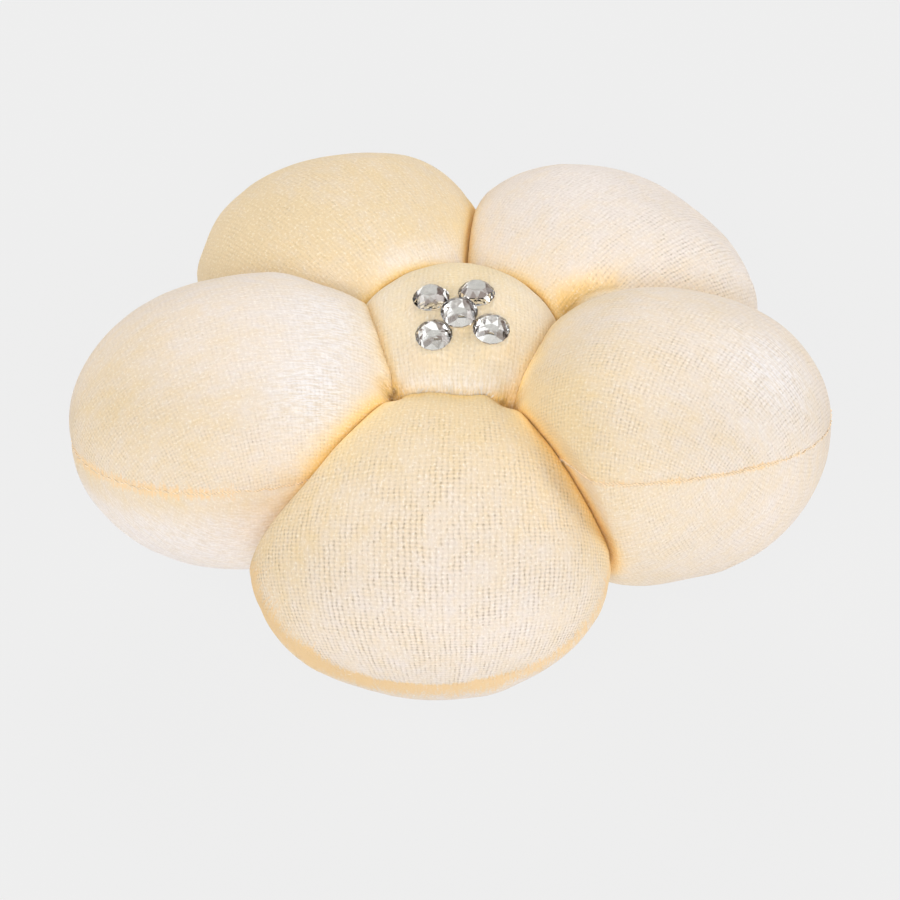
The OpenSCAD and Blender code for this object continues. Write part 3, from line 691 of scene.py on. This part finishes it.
def tufts(grid, near, lay, fields, share, at_near, length, colour, seed):
    """Tips of the pile that stand out of a crease: thin spikes on one panel's grid that lean over what it touches."""
    gu, gw = np.gradient(grid, axis=0), np.gradient(grid, axis=1)
    n = np.cross(gu, gw)
    n /= np.linalg.norm(n, axis=-1, keepdims=True) + 1e-12
    # way along the surface in which the other piece comes nearer
    du, dw = np.gradient(near, axis=0), np.gradient(near, axis=1)
    lean = -(gu * (du / ((gu * gu).sum(-1) + 1e-9))[..., None] + gw * (dw / ((gw * gw).sum(-1) + 1e-9))[..., None])
    lean /= np.linalg.norm(lean, axis=-1, keepdims=True) + 1e-9
    cell = np.linalg.norm(gu, axis=-1) * np.linalg.norm(gw, axis=-1)
    rng = np.random.default_rng(seed)
    want = share * cell * np.exp(-((near - at_near) / 0.4) ** 2)
    want[:2] = want[-2:] = 0
    want[:, :2] = want[:, -2:] = 0
    count = rng.poisson(want)
    rows, cols = np.nonzero(count)
    rows, cols = np.repeat(rows, count[rows, cols]), np.repeat(cols, count[rows, cols])
    m = len(rows)
    if m == 0:
        return None
    at, up, way = grid[rows, cols], n[rows, cols], lean[rows, cols]
    at = at + (rng.random((m, 1)) - 0.5) * gu[rows, cols] + (rng.random((m, 1)) - 0.5) * gw[rows, cols]
    across = np.cross(up, way)
    turn = rng.normal(0, 0.45, (m, 1))
    aim = way * np.cos(turn) + across * np.sin(turn)
    long = rng.uniform(0.4, 1.0, (m, 1)) * length[rows, cols][:, None]
    tip = at + long * (0.8 * aim + rng.uniform(0.3, 0.85, (m, 1)) * up)
    wide = rng.uniform(0.06, 0.11, (m, 1))
    side = np.cross(up, aim)
    foot = at - 0.06 * up
    verts = np.stack([foot + wide * side, foot - wide * side, foot + wide * 1.2 * up - wide * aim, tip], 1)
    verts[:, 2] = foot - wide * 1.4 * aim
    one = np.array([[0, 1, 2], [0, 3, 1], [1, 3, 2], [2, 3, 0]])
    faces = (4 * np.arange(m)[:, None, None] + one).reshape(-1, 3)
    maps = np.repeat(lay[rows, cols], 12, 0)
    attrs = {k: np.repeat(f[rows, cols], 12) for k, f in fields.items()}
    for k, value in colour.items():
        attrs[k] = np.full(12 * m, value)
    return verts.reshape(-1, 3), faces, maps, attrs, np.repeat(up, 4, 0)


def sew(name, top, bottom, maps, fields, material, turned=False, pile=()):
    """One closed mesh from an upper and a lower grid of points that share their rim, with tips of its pile."""
    verts = [top.reshape(-1, 3), bottom[~EDGE]]
    faces = list(np.concatenate([UP, DOWN]))
    lay = [maps[0].reshape(-1, 2)[UPG].reshape(-1, 2), maps[1].reshape(-1, 2)[DOWNG].reshape(-1, 2)]
    attrs = {k: [fields[0][k].ravel()[UPG].ravel(), fields[1][k].ravel()[DOWNG].ravel()] for k in fields[0]}
    count = len(verts[0]) + len(verts[1])
    for more in pile:
        if more is not None:
            verts.append(more[0])
            faces += list(more[1] + count)
            lay.append(more[2])
            for k in attrs:
                attrs[k].append(more[3][k])
            count += len(more[0])
    lay = np.concatenate(lay)
    uv = {"knit": lay[:, ::-1] if turned else lay, "lay": lay}
    ob = make_mesh(name, np.concatenate(verts) + FLOWER, faces, material, uv, {k: np.concatenate(a) for k, a in attrs.items()})
    more = [more[4] for more in pile if more is not None]
    if more:
        # the tips shade like the pile they stand in
        more = np.concatenate(more)
        n = np.empty(3 * count, np.float32)
        ob.data.vertex_normals.foreach_get("vector", n)
        n = n.reshape(-1, 3)
        n[-len(more):] = more
        ob.data.normals_split_custom_set_from_vertices(n.tolist())
    return ob


def tube(name, line, radius, sides, material, closed=True):
    """A tube along a line of points in mm."""
    line = np.asarray(line, float)
    n = len(line)
    nxt = np.roll(line, -1, 0) if closed else np.vstack([line[1:], line[-1:]])
    prv = np.roll(line, 1, 0) if closed else np.vstack([line[:1], line[:-1]])
    tan = nxt - prv
    tan /= np.linalg.norm(tan, axis=1, keepdims=True)
    side = np.cross(tan, np.array([0, 0, 1.0]))
    side /= np.linalg.norm(side, axis=1, keepdims=True) + 1e-12
    top = np.cross(side, tan)
    ang = 2 * np.pi * np.arange(sides) / sides
    rr = np.broadcast_to(np.asarray(radius, float), (n,))
    pts = line[:, None] + rr[:, None, None] * (np.cos(ang)[None, :, None] * side[:, None] + np.sin(ang)[None, :, None] * top[:, None])
    faces = []
    last = n if closed else n - 1
    for k in range(last):
        a, b = k * sides, ((k + 1) % n) * sides
        for j in range(sides):
            l = (j + 1) % sides
            faces.append([a + j, a + l, b + l, b + j])
    if not closed:
        faces.append(list(range(sides - 1, -1, -1)))
        faces.append([(n - 1) * sides + j for j in range(sides)])
    return make_mesh(name, pts.reshape(-1, 3), faces, material)


# ---------------------------------------------------------------- covered button
def stone_frames():
    out = []
    for s in STONES:
        z = BUTTON_H * math.sqrt(1 - (s[0] ** 2 + s[1] ** 2) / BUTTON_R ** 2) + s[2]
        a, b = math.radians(s[3]), math.radians(s[4])
        out.append((np.array([s[0], s[1], z]), np.array([math.sin(a) * math.cos(b), math.sin(a) * math.sin(b), math.cos(a)])))
    return out


def button_cap(up, t, v):
    lift = BUTTON_H if up > 0 else BUTTON_D
    r, h = np.sin(np.pi / 2 * v), np.cos(np.pi / 2 * v)
    q = np.stack([BUTTON_R * np.cos(t) * r, BUTTON_R * np.sin(t) * r, up * lift * h], -1)
    n = q / np.array([BUTTON_R ** 2, BUTTON_R ** 2, lift ** 2])
    n /= np.linalg.norm(n, axis=-1, keepdims=True)
    arc = lift * (1 - v) * np.pi / 2
    fade = np.clip(arc / 3, 0, 1) if up > 0 else np.clip(arc / 3, 0, 1) * 0.3
    tuft = noise3(np.stack([q[..., 0] / 0.8, q[..., 1] / 3.0, q[..., 2] / 3.0], -1), 8)
    front = np.clip(-q[..., 1] / 9 - 0.35, 0, 1) * np.clip(arc / 0.6, 0, 1)
    q = q + n * (0.14 * fbm(q / 4.5, 5, 2) * fade - 0.1 + 0.2 * tuft * front)[..., None]
    if up > 0:
        # the velvet stands up to the back of each stone, and never over a stone's edge
        total, move, planes = 0, 0, []
        for k, (c, ax) in enumerate(stone_frames()):
            d = np.hypot(q[..., 0] - c[0], q[..., 1] - c[1])
            want = c[2] - 0.13 - (ax[0] * (q[..., 0] - c[0]) + ax[1] * (q[..., 1] - c[1])) / ax[2]
            w = np.clip((1.7 - d) / 0.6, 0, 1) if k == 0 else np.clip((3.0 - d) / 1.0, 0, 1)
            w = w * w * (3 - 2 * w)
            total, move = total + w, move + w * (want - q[..., 2])
            planes.append((d, want))
        q[..., 2] += move / np.maximum(1, total)
        for d, want in planes:
            q[..., 2] = np.where(d < 2.15, np.minimum(q[..., 2], want), q[..., 2])
    return q, arc


# ---------------------------------------------------------------- cloth simulation of the stuffed petals
COARSE, SIM, SMALLER, CAP = 26, 20.0, 0.13, 0.9


def between(n, m):
    """Weights that carry a row of n+1 values to m+1 values along a smooth curve."""
    w = np.zeros((m + 1, n + 1))
    for j in range(m + 1):
        x = j * n / m
        k = min(int(x), n - 1)
        f = x - k
        for step, c in zip((-1, 0, 1, 2), (-f + 2 * f * f - f ** 3, 2 - 5 * f * f + 3 * f ** 3, f + 4 * f * f - 3 * f ** 3, f ** 3 - f * f)):
            w[j, min(max(k + step, 0), n)] += c / 2
    return w


def corner_normals(verts, faces):
    n = np.zeros_like(verts)
    f = np.cross(verts[faces[:, 2]] - verts[faces[:, 0]], verts[faces[:, 3]] - verts[faces[:, 1]])
    for k in range(4):
        np.add.at(n, faces[:, k], f)
    return n / (np.linalg.norm(n, axis=1, keepdims=True) + 1e-12)


def swollen(i):
    """How the velvet of petal i moves as its filling swells it: a cloth that starts a little small and is held where it is pressed."""
    t, v = disc(COARSE)
    edge, up, down, _, _ = two_caps(COARSE)
    top, low = laid(petal_cap(i, 1, t, v)[0], i), laid(petal_cap(i, -1, t, v)[0], i)
    low[edge] = top[edge]
    base = np.concatenate([top.reshape(-1, 3), low[~edge]])
    faces = np.concatenate([up, down])
    flat = base.copy()
    flat[:, 2] = FLOOR_Z - 50
    clear = np.stack([-((base - BUTTON) @ side_normal(i)), (base - BUTTON) @ side_normal((i + 4) % 5), off_rim(base),
                      base[:, 2] - off_floor(flat, PETALS[i][11], 0.0)[:, 2]]).min(0)
    free = np.clip((clear - 0.4) / 2.6, 0, 1)
    free = free * free * (3 - 2 * free)
    ob = make_mesh("swelling", (base - SMALLER * free[:, None] * corner_normals(base, faces)) * SIM, faces, None)
    held = ob.vertex_groups.new(name="held")
    for k, w in enumerate(1 - free):
        if w > 0.02:
            held.add([k], float(w), "REPLACE")
    cloth = ob.modifiers.new("cloth", "CLOTH")
    c = cloth.settings
    c.quality = 8
    c.mass = 0.3
    c.air_damping = 4.0
    c.tension_stiffness = c.compression_stiffness = 15
    c.shear_stiffness = 6
    c.bending_stiffness = 0.5
    c.use_pressure = True
    c.uniform_pressure_force = 25.0
    c.vertex_group_mass = "held"
    c.effector_weights.gravity = 0
    cloth.collision_settings.use_collision = False
    cloth.collision_settings.use_self_collision = False
    cloth.point_cache.frame_start, cloth.point_cache.frame_end = 1, 22
    for f in range(1, 21):
        scene.frame_set(f)
    seen = ob.evaluated_get(bpy.context.evaluated_depsgraph_get())
    me = seen.to_mesh()
    now = np.empty(len(me.vertices) * 3, np.float32)
    me.vertices.foreach_get("co", now)
    seen.to_mesh_clear()
    data = ob.data
    bpy.data.objects.remove(ob, do_unlink=True)
    bpy.data.meshes.remove(data)
    scene.frame_set(1)
    move = now.reshape(-1, 3).astype(float) / (SIM * MM) - base
    size = np.linalg.norm(move, axis=1)
    print("swelling", NAMES[i], "mean %.3f" % (move * corner_normals(base, faces)).sum(1).mean(), "most %.3f" % size.max())
    move *= np.minimum(1, CAP / (size + 1e-9))[:, None]
    n = (COARSE + 1) ** 2
    above = move[:n].reshape(COARSE + 1, COARSE + 1, 3)
    below = above.copy()
    below[~edge] = move[n:]
    w = between(COARSE, N)
    return [np.einsum("ai,ijk,bj->abk", w, m, w) for m in (above, below)]


# ---------------------------------------------------------------- shapes, and how near they lie to one another
shapes, arcs = [], []
for i in range(5):
    top, arc_top = petal_cap(i, 1, GRID_T, GRID_V)
    low, arc_low = petal_cap(i, -1, GRID_T, GRID_V)
    above, below = swollen(i)
    top, low = top + above, low + below
    top, low = gathered(laid(top, i), i), laid(low, i)
    low[EDGE] = top[EDGE]
    shapes.append([top, low])
    arcs.append([arc_top, arc_low])
top, arc_top = button_cap(1, GRID_T, GRID_V)
low, arc_low = button_cap(-1, GRID_T, GRID_V)
low[EDGE] = top[EDGE]
shapes.append([top + BUTTON, low + BUTTON])
arcs.append([arc_top, arc_low])


def nearness(k):
    """Distance from each point of piece k to the nearest point of the other padded pieces."""
    rest = np.concatenate([g.reshape(-1, 3) for j, pair in enumerate(shapes) if j != k for g in pair])
    tree = KDTree(len(rest))
    for n, p in enumerate(rest):
        tree.insert(p, n)
    tree.balance()
    return [np.array([tree.find(p)[2] for p in g.reshape(-1, 3)]).reshape(g.shape[:2]) for g in shapes[k]]


petals = []
for i, label in enumerate(NAMES):
    p = PETALS[i]
    near = nearness(i)
    grids, fields, maps = shapes[i], [], []
    for k, up in enumerate((1, -1)):
        fields.append(petal_fields(i, grids[k], up, arcs[i][k], GRID_T, np.maximum(0, near[k] - 0.12)))
        maps.append(knit_map(p, p[5] if up > 0 else p[6], GRID_T, GRID_V, up, 6 if i == 0 else 0) + 97.0 * i + (0 if up > 0 else 41.0))
    ob = sew(f"petal_{label}_velvet", grids[0], grids[1], maps, fields, VELVET, turned=i in (1, 4))
    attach(ob, "flower")
    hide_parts(f"petal_{label}_upper", f"petal_{label}_lower", f"petal_{label}_filling")
    petals.append(ob)

    # sewing thread in the seam: short stitches that dip into the velvet
    m = 960
    t = np.linspace(-np.pi, np.pi, m, endpoint=False)
    order = np.argsort(GRID_T[EDGE])
    rim_t, rim_p = GRID_T[EDGE][order], grids[0][EDGE][order]
    st = np.stack([np.interp(t, rim_t, rim_p[:, k], period=2 * np.pi) for k in range(3)], -1)
    out = placed(np.stack([np.cos(t) / p[3], np.sin(t) / p[4], 0 * t], -1), p) - placed(np.zeros((1, 3)), p)
    out /= np.linalg.norm(out, axis=1, keepdims=True)
    up = placed(np.array([[0, 0, 1.0]]), p) - placed(np.zeros((1, 3)), p)
    ring = np.stack([np.cos(t) * 30, np.sin(t) * 30, 0 * t + 5 * i], -1)
    sink = [-0.2, 0.0, -0.1, -0.1, -0.06][i]
    st = st + out * (sink + 0.06 * np.cos(110 * t) + 0.06 * noise3(ring, 90 + i))[:, None]
    st = st + up * (0.07 * np.sin(55 * t) + 0.1 * noise3(ring * 1.3, 95 + i))[:, None] + FLOWER
    s = tube(f"petal_{label}_stitching", st, 0.13 - 0.05 * np.clip((np.asarray(st)[:, 0] - 30) / 5, 0, 1), 8, THREAD)
    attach(s, "flower")
    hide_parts(f"petal_{label}_seam")

grids, fields, maps = shapes[5], [], []
near = nearness(5)
for k, up in enumerate((1, -1)):
    arc, close = arcs[5][k], np.maximum(0, near[k] - 0.12)
    q = grids[k] - BUTTON
    zero = np.zeros_like(arc)
    front = np.clip(-q[..., 1] / 11.5, 0, 1)
    # painted shade where the petals meet the button, lighter at the front and flanks, with dark pits at the front
    # corners, and a painted sheen highlight along the front edge
    crease = (0.3 * np.exp(-close / 1.2) + 0.06 * np.exp(-close / 3.5)) * (1 - 0.75 * front ** 2)
    flank = np.clip(np.abs(q[..., 0]) / 10 - 0.3, 0, 0.7)
    pits = bump_at(grids[k], -7.2, -8.9, 5.2, 1.1) + bump_at(grids[k], 4.1, -10, 5.2, 1.2)
    fields.append({"nap": 0.84 + 0.2 * np.clip(q[..., 1] / 8, 0, 1) - 0.44 * front ** 2 - 0.5 * flank, "crease": crease * (1 - 0.6 * flank),
                   "deep": np.clip(0.25 * np.exp(-(close / 0.4) ** 2) + 0.8 * pits, 0, 1),
                   "fold": (0.75 * np.exp(-(close / 0.6) ** 2)) * (1 - 0.3 * front ** 2) * (1 - 0.6 * flank)
                   + 0.8 * pits,
                   "seam": zero, "along": 11.5 * GRID_T, "arc": arc,
                   "white": np.clip(1.7 * front ** 3 * np.exp(-(close / 2.6) ** 2) + 0.25 * flank, 0, 1), "open": zero + 0.45})
    maps.append(np.stack([quarter(BUTTON_R, 7) * GRID_V * np.sin(GRID_T), up * quarter(BUTTON_R, 7) * GRID_V * np.cos(GRID_T)], -1) + 611.0)
front = np.clip(-(grids[0] - BUTTON)[..., 1] / 11.5, 0, 1)
pile = [tufts(grids[0], np.maximum(0, near[0] - 0.12), maps[0], fields[0],
              14.0 * front ** 3 * np.clip((5.0 - np.abs(grids[0][..., 0] + 1.6)) / 2, 0, 1), 0.5, 0.7 + 0.9 * front ** 2,
              {"fold": 0, "deep": 0, "crease": 0.15, "open": 0, "seam": 0, "white": 0.5, "nap": 0.55}, 320)]
button = sew("button_velvet", grids[0], grids[1], maps, fields, VELVET_CENTRE, pile=pile)
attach(button, "flower")
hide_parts("button_cover", "button_pad")

# ---------------------------------------------------------------- stones, each facet ground flat
def cut_stone(name, k, turn):
    """Flat-backed brilliant: a table, eight stars, eight kites and sixteen girdle facets."""
    r, h = 1.95, 1.3

    def ring(n, rr, z, a):
        b = np.radians(360 * np.arange(n) / n + a)
        return np.stack([rr * np.cos(b), rr * np.sin(b), np.full(n, z)], -1)

    pts = np.concatenate([ring(8, r * 0.5, h, 0), ring(8, r * 0.78, h * 0.64, 22.5), ring(16, r, h * 0.2, 0), ring(16, r * 0.95, 0, 0)])
    faces = [list(range(8)), [47 - j for j in range(16)]]
    for j in range(8):
        l, p = (j + 1) % 8, (j + 7) % 8
        faces += [[8 + j, l, j], [16 + 2 * j, 8 + j, j], [8 + p, 16 + 2 * j, j]]
        faces += [[16 + 2 * j, 17 + 2 * j, 8 + j], [17 + 2 * j, 16 + (2 * j + 2) % 16, 8 + j]]
    for j in range(16):
        l = (j + 1) % 16
        faces.append([32 + j, 32 + l, 16 + l, 16 + j])
    at = stone_frames()[k][0]
    lean, way = STONES[k][3], STONES[k][4]
    spin = Matrix.Rotation(math.radians(way), 3, "Z") @ Matrix.Rotation(math.radians(lean), 3, "Y") @ Matrix.Rotation(math.radians(turn - way), 3, "Z")
    return make_mesh(name, pts @ np.array(spin).T + at + BUTTON + FLOWER, faces, STONE, smooth=False)


for k, (label, turn) in enumerate({"middle": 10, "back_left": 0, "back_right": 25, "front_left": 15, "front_right": 40}.items()):
    stone = cut_stone(f"rhinestone_{label}_cut", k, turn)
    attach(stone, "flower")
    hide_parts(f"rhinestone_{label}")

# ---------------------------------------------------------------- felt under the flower
def cut_felt(name, middle, normal, depth, thick, amount, seed):
    """A piece of felt from a grid of its middle surface: full inside, its cut edge worn round, its faces a little uneven."""
    half = thick / 2 * np.sqrt(np.clip(1 - (1 - np.clip(depth / (0.55 * thick), 0, 1)) ** 2, 0, 1))
    faces = []
    for k, way in enumerate((1, -1)):
        rough = amount * fbm(middle / 1.7, seed + 9 * k, 3) * np.clip(depth / 0.4, 0, 1)
        faces.append(middle + way * normal * (half - np.abs(rough))[..., None])
    edge, up, down, _, _ = two_caps(middle.shape[0] - 1)
    return make_mesh(name, np.concatenate([faces[0].reshape(-1, 3), faces[1][~edge]]), np.concatenate([up, down]), FELT)


n = 96
t, v = disc(n)
u, w = np.meshgrid(np.linspace(-1, 1, n + 1), np.linspace(-1, 1, n + 1), indexing="ij")
s = np.minimum(1, np.hypot(u * np.sqrt(1 - w * w / 2), w * np.sqrt(1 - u * u / 2)))
# the disc is cut by hand, so its edge wanders a little
r = np.sin(np.pi / 2 * s)
wander = 20.75 + 0.2 * noise3(np.stack([3 * np.cos(t), 3 * np.sin(t), 0 * t], -1), 201) + 0.05 * noise3(np.stack([16 * np.cos(t), 16 * np.sin(t), 0 * t], -1), 202)
middle = np.stack([0.5 + wander * r * np.cos(t), 1.6 + wander * r * np.sin(t), 0 * t + 8.79], -1)
felt = cut_felt("felt_disc", middle, np.array([0, 0, 1.0]), wander * (1 - r), 1.42, 0.06, 210)
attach(felt, "flower")
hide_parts("felt_backing")

# strip of felt under the upper jaw, its two sides glued up to the disc
across = 7.55 * np.sin(np.pi / 2 * w)
lengthwise = 7.97 * np.sin(np.pi / 2 * u)
rise = np.clip((np.abs(across) - 4.75) / 1.35, 0, 1)
slope = 0.85 * 6 * rise * (1 - rise) / 1.35 * np.sign(across)
middle = np.stack([9 + lengthwise, across, 6.73 + 0.85 * rise * rise * (3 - 2 * rise)], -1)
normal = np.stack([0 * slope, -slope, 1 + 0 * slope], -1)
normal /= np.linalg.norm(normal, axis=-1, keepdims=True)
depth = np.minimum(7.55 - np.abs(across), 7.97 - np.abs(lengthwise))
strap = cut_felt("felt_strap", middle, normal, depth, 0.78, 0.05, 230)
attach(strap, "flower")
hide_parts("felt_patch")

# ---------------------------------------------------------------- spring, round the hinge pin with a leg on each jaw
turn = np.radians(np.arange(100, 1700 + 1, 6))
coil = np.stack([-6 - 1.3 * np.cos(turn), 0.74 * (turn - 5 * np.pi) / (2 * np.pi), 4 + 1.3 * np.sin(turn)], -1)


def leg(start, heading, end, n=14):
    """A springy leg from the coil, leaving it along its wire."""
    k = np.linspace(0, 1, n + 1)[1:, None]
    a, b = 7.0 * heading, 6.0 * (end - start) / np.linalg.norm(end - start)
    return start * (1 + 2 * k) * (1 - k) ** 2 + a * k * (1 - k) ** 2 + end * k * k * (3 - 2 * k) + b * k * k * (k - 1)


def heading(d):
    return d / np.linalg.norm(d)


high = leg(coil[0], heading(coil[0] - coil[1]), np.array([-17, coil[0][1], 6.85]))
low = leg(coil[-1], heading(coil[-1] - coil[-2]), np.array([-17, coil[-1][1], 1.15]))
spring = tube("clip_spring_wire", np.concatenate([high[::-1], coil, low]), 0.3, 12, WIRE, closed=False)
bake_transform(spring)
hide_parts("clip_spring")

# ---------------------------------------------------------------- nodes that keep their shape
for name, width in {"clip_upper_jaw": 0.12, "clip_lower_jaw": 0.12, "clip_hinge_pin": 0.06}.items():
    worn = nodes[name].modifiers.new("worn_edges", "BEVEL")
    worn.width = width * MM
    worn.segments = 2
    worn.limit_method = "ANGLE"
    worn.angle_limit = math.radians(35)
    worn.harden_normals = False
for name, mat in {"gathering_thread": THREAD_PLAIN, "anchor_thread": THREAD_PLAIN, "button_shell": STEEL, "button_back": STEEL,
                  "button_shank": STEEL, "rhinestone_foils": FOIL, "clip_upper_jaw": NICKEL, "clip_lower_jaw": NICKEL,
                  "clip_hinge_pin": STEEL}.items():
    me = nodes[name].data
    me.materials.clear()
    me.materials.append(mat)

# ---------------------------------------------------------------- stage, light and camera
TABLE_LIGHT = 1.08
ROOM_LIGHT = 0.12


def floor_material():
    t = Tree("floor")
    e = t.node("ShaderNodeEmission")
    e.inputs[0].default_value = (1, 1, 1, 1)
    # as pale to the camera as the backdrop, as bright to the velvet as a lit table, and greyer in the glass
    path = t.node("ShaderNodeLightPath")
    lit = t.math("ADD", 0.5, t.math("MULTIPLY", path.outputs["Is Diffuse Ray"], TABLE_LIGHT - 0.5))
    lit = t.math("ADD", lit, t.math("MULTIPLY", path.outputs["Is Camera Ray"], 0.855 - 0.5))
    t.link(lit, e.inputs[1])
    d = t.node("ShaderNodeBsdfDiffuse")
    d.inputs[0].default_value = (0.8, 0.8, 0.8, 1)
    m = t.node("ShaderNodeMixShader")
    m.inputs[0].default_value = 0.04
    t.link(e.outputs[0], m.inputs[1])
    t.link(d.outputs[0], m.inputs[2])
    clear = t.node("ShaderNodeBsdfTransparent")
    g = t.node("ShaderNodeNewGeometry")
    m2 = t.node("ShaderNodeMixShader")
    t.link(g.outputs["Backfacing"], m2.inputs[0])
    t.link(m.outputs[0], m2.inputs[1])
    t.link(clear.outputs[0], m2.inputs[2])
    t.link(m2.outputs[0], t.out.inputs[0])
    return t.mat


me = bpy.data.meshes.new("floor")
me.from_pydata([(-3, -3, -0.0002), (3, -3, -0.0002), (3, 3, -0.0002), (-3, 3, -0.0002)], [], [(0, 1, 2, 3)])
me.materials.append(floor_material())
floor = bpy.data.objects.new("floor", me)
scene.collection.objects.link(floor)

world = bpy.data.worlds.new("studio")
scene.world = world
world.use_nodes = True
wt = world.node_tree
wt.nodes.clear()
wout = wt.nodes.new("ShaderNodeOutputWorld")
plain = wt.nodes.new("ShaderNodeBackground")
plain.inputs[0].default_value = (1, 1, 1, 1)
plain.inputs[1].default_value = 0.855
soft = wt.nodes.new("ShaderNodeBackground")
soft.inputs[0].default_value = (1, 1, 1, 1)
soft.inputs[1].default_value = ROOM_LIGHT
seen = wt.nodes.new("ShaderNodeLightPath")
both = wt.nodes.new("ShaderNodeMixShader")
wt.links.new(seen.outputs["Is Camera Ray"], both.inputs[0])
wt.links.new(soft.outputs[0], both.inputs[1])
wt.links.new(plain.outputs[0], both.inputs[2])
# softboxes and dark gaps between them, for what glass and metal reflect
gloss = wt.nodes.new("ShaderNodeBackground")
where = wt.nodes.new("ShaderNodeTexCoord")
cells = wt.nodes.new("ShaderNodeTexVoronoi")
cells.inputs["Scale"].default_value = 3.2
wt.links.new(where.outputs["Generated"], cells.inputs["Vector"])
tones = wt.nodes.new("ShaderNodeValToRGB")
tones.color_ramp.interpolation = "CONSTANT"
for at, shade in ((0.0, (0.14, 0.095, 0.08)), (0.26, (0.36, 0.3, 0.27)), (0.5, (0.6, 0.56, 0.525)), (0.77, (1.4, 1.39, 1.36))):
    if at == 0.0:
        stop = tones.color_ramp.elements[0]
    else:
        stop = tones.color_ramp.elements.new(at)
    stop.position, stop.color = at, (*shade, 1)
tones.color_ramp.elements.remove(tones.color_ramp.elements[-1])
split = wt.nodes.new("ShaderNodeSeparateColor")
wt.links.new(cells.outputs["Color"], split.inputs[0])
wt.links.new(split.outputs[0], tones.inputs[0])
aim = wt.nodes.new("ShaderNodeVectorMath")
aim.operation = "DOT_PRODUCT"
wt.links.new(where.outputs["Generated"], aim.inputs[0])
aim.inputs[1].default_value = (0, 0.6, 0.8)
wall = wt.nodes.new("ShaderNodeMapRange")
wt.links.new(aim.outputs["Value"], wall.inputs[0])
wall.inputs[1].default_value, wall.inputs[2].default_value = 0.9, 0.96
blank = wt.nodes.new("ShaderNodeMix")
blank.data_type = "RGBA"
wt.links.new(wall.outputs[0], blank.inputs[0])
wt.links.new(tones.outputs[0], blank.inputs[6])
blank.inputs[7].default_value = (0.73, 0.715, 0.675, 1)
wt.links.new(blank.outputs[2], gloss.inputs[0])
gloss.inputs[1].default_value = 1.0
last = wt.nodes.new("ShaderNodeMixShader")
either = wt.nodes.new("ShaderNodeMath")
either.operation = "MAXIMUM"
wt.links.new(seen.outputs["Is Camera Ray"], either.inputs[0])
wt.links.new(seen.outputs["Is Diffuse Ray"], either.inputs[1])
wt.links.new(either.outputs[0], last.inputs[0])
wt.links.new(gloss.outputs[0], last.inputs[1])
wt.links.new(both.outputs[0], last.inputs[2])
wt.links.new(last.outputs[0], wout.inputs[0])


def area(name, place, aim, size, power, colour=(1, 1, 1), glint=True):
    light = bpy.data.lights.new(name, "AREA")
    light.shape = "DISK"
    light.size = size
    light.energy = power
    light.color = colour
    ob = bpy.data.objects.new(name, light)
    ob.location = place
    ob.rotation_mode = "QUATERNION"
    ob.rotation_quaternion = (Vector(aim) - Vector(place)).to_track_quat("-Z", "Y")
    scene.collection.objects.link(ob)
    ob.visible_glossy = ob.visible_transmission = glint
    return ob


area("fill", (-0.03, -0.54, 0.52), (0, 0, 0.02), 0.4, 3.28, glint=False)
area("left_box", (-0.65, -0.1, 0.38), (0, 0, 0.02), 0.4, 1.6)
area("right_box", (0.65, -0.1, 0.38), (0, 0, 0.02), 0.4, 2.1)
area("back_box", (0, 0.6, 0.45), (0, 0, 0.02), 0.4, 2.9, glint=False)

TARGET = Vector(FLOWER * MM)
ELEVATION, DISTANCE, FOCAL = math.radians(46.3), 0.6, 5700.0
fwd = Vector((0, math.cos(ELEVATION), -math.sin(ELEVATION)))
upv = Vector((0, math.sin(ELEVATION), math.cos(ELEVATION)))
right = Vector((1, 0, 0))
cam_data = bpy.data.cameras.new("camera")
cam_data.sensor_width = 36.0
cam_data.lens = 36.0 * FOCAL / 900
cam = bpy.data.objects.new("camera", cam_data)
scene.collection.objects.link(cam)
cam.location = TARGET - fwd * DISTANCE
look = (fwd + right * ((450 - 464) / FOCAL) + upv * ((365 - 450) / FOCAL)).normalized()
side = look.cross(upv).normalized()
top = side.cross(look).normalized()
cam.rotation_mode = "QUATERNION"
cam.rotation_quaternion = Matrix((side, top, -look)).transposed().to_quaternion()
cam_data.clip_start, cam_data.clip_end = 0.01, 20
scene.camera = cam
scene.view_settings.view_transform = "Standard"
scene.view_settings.look = "None"
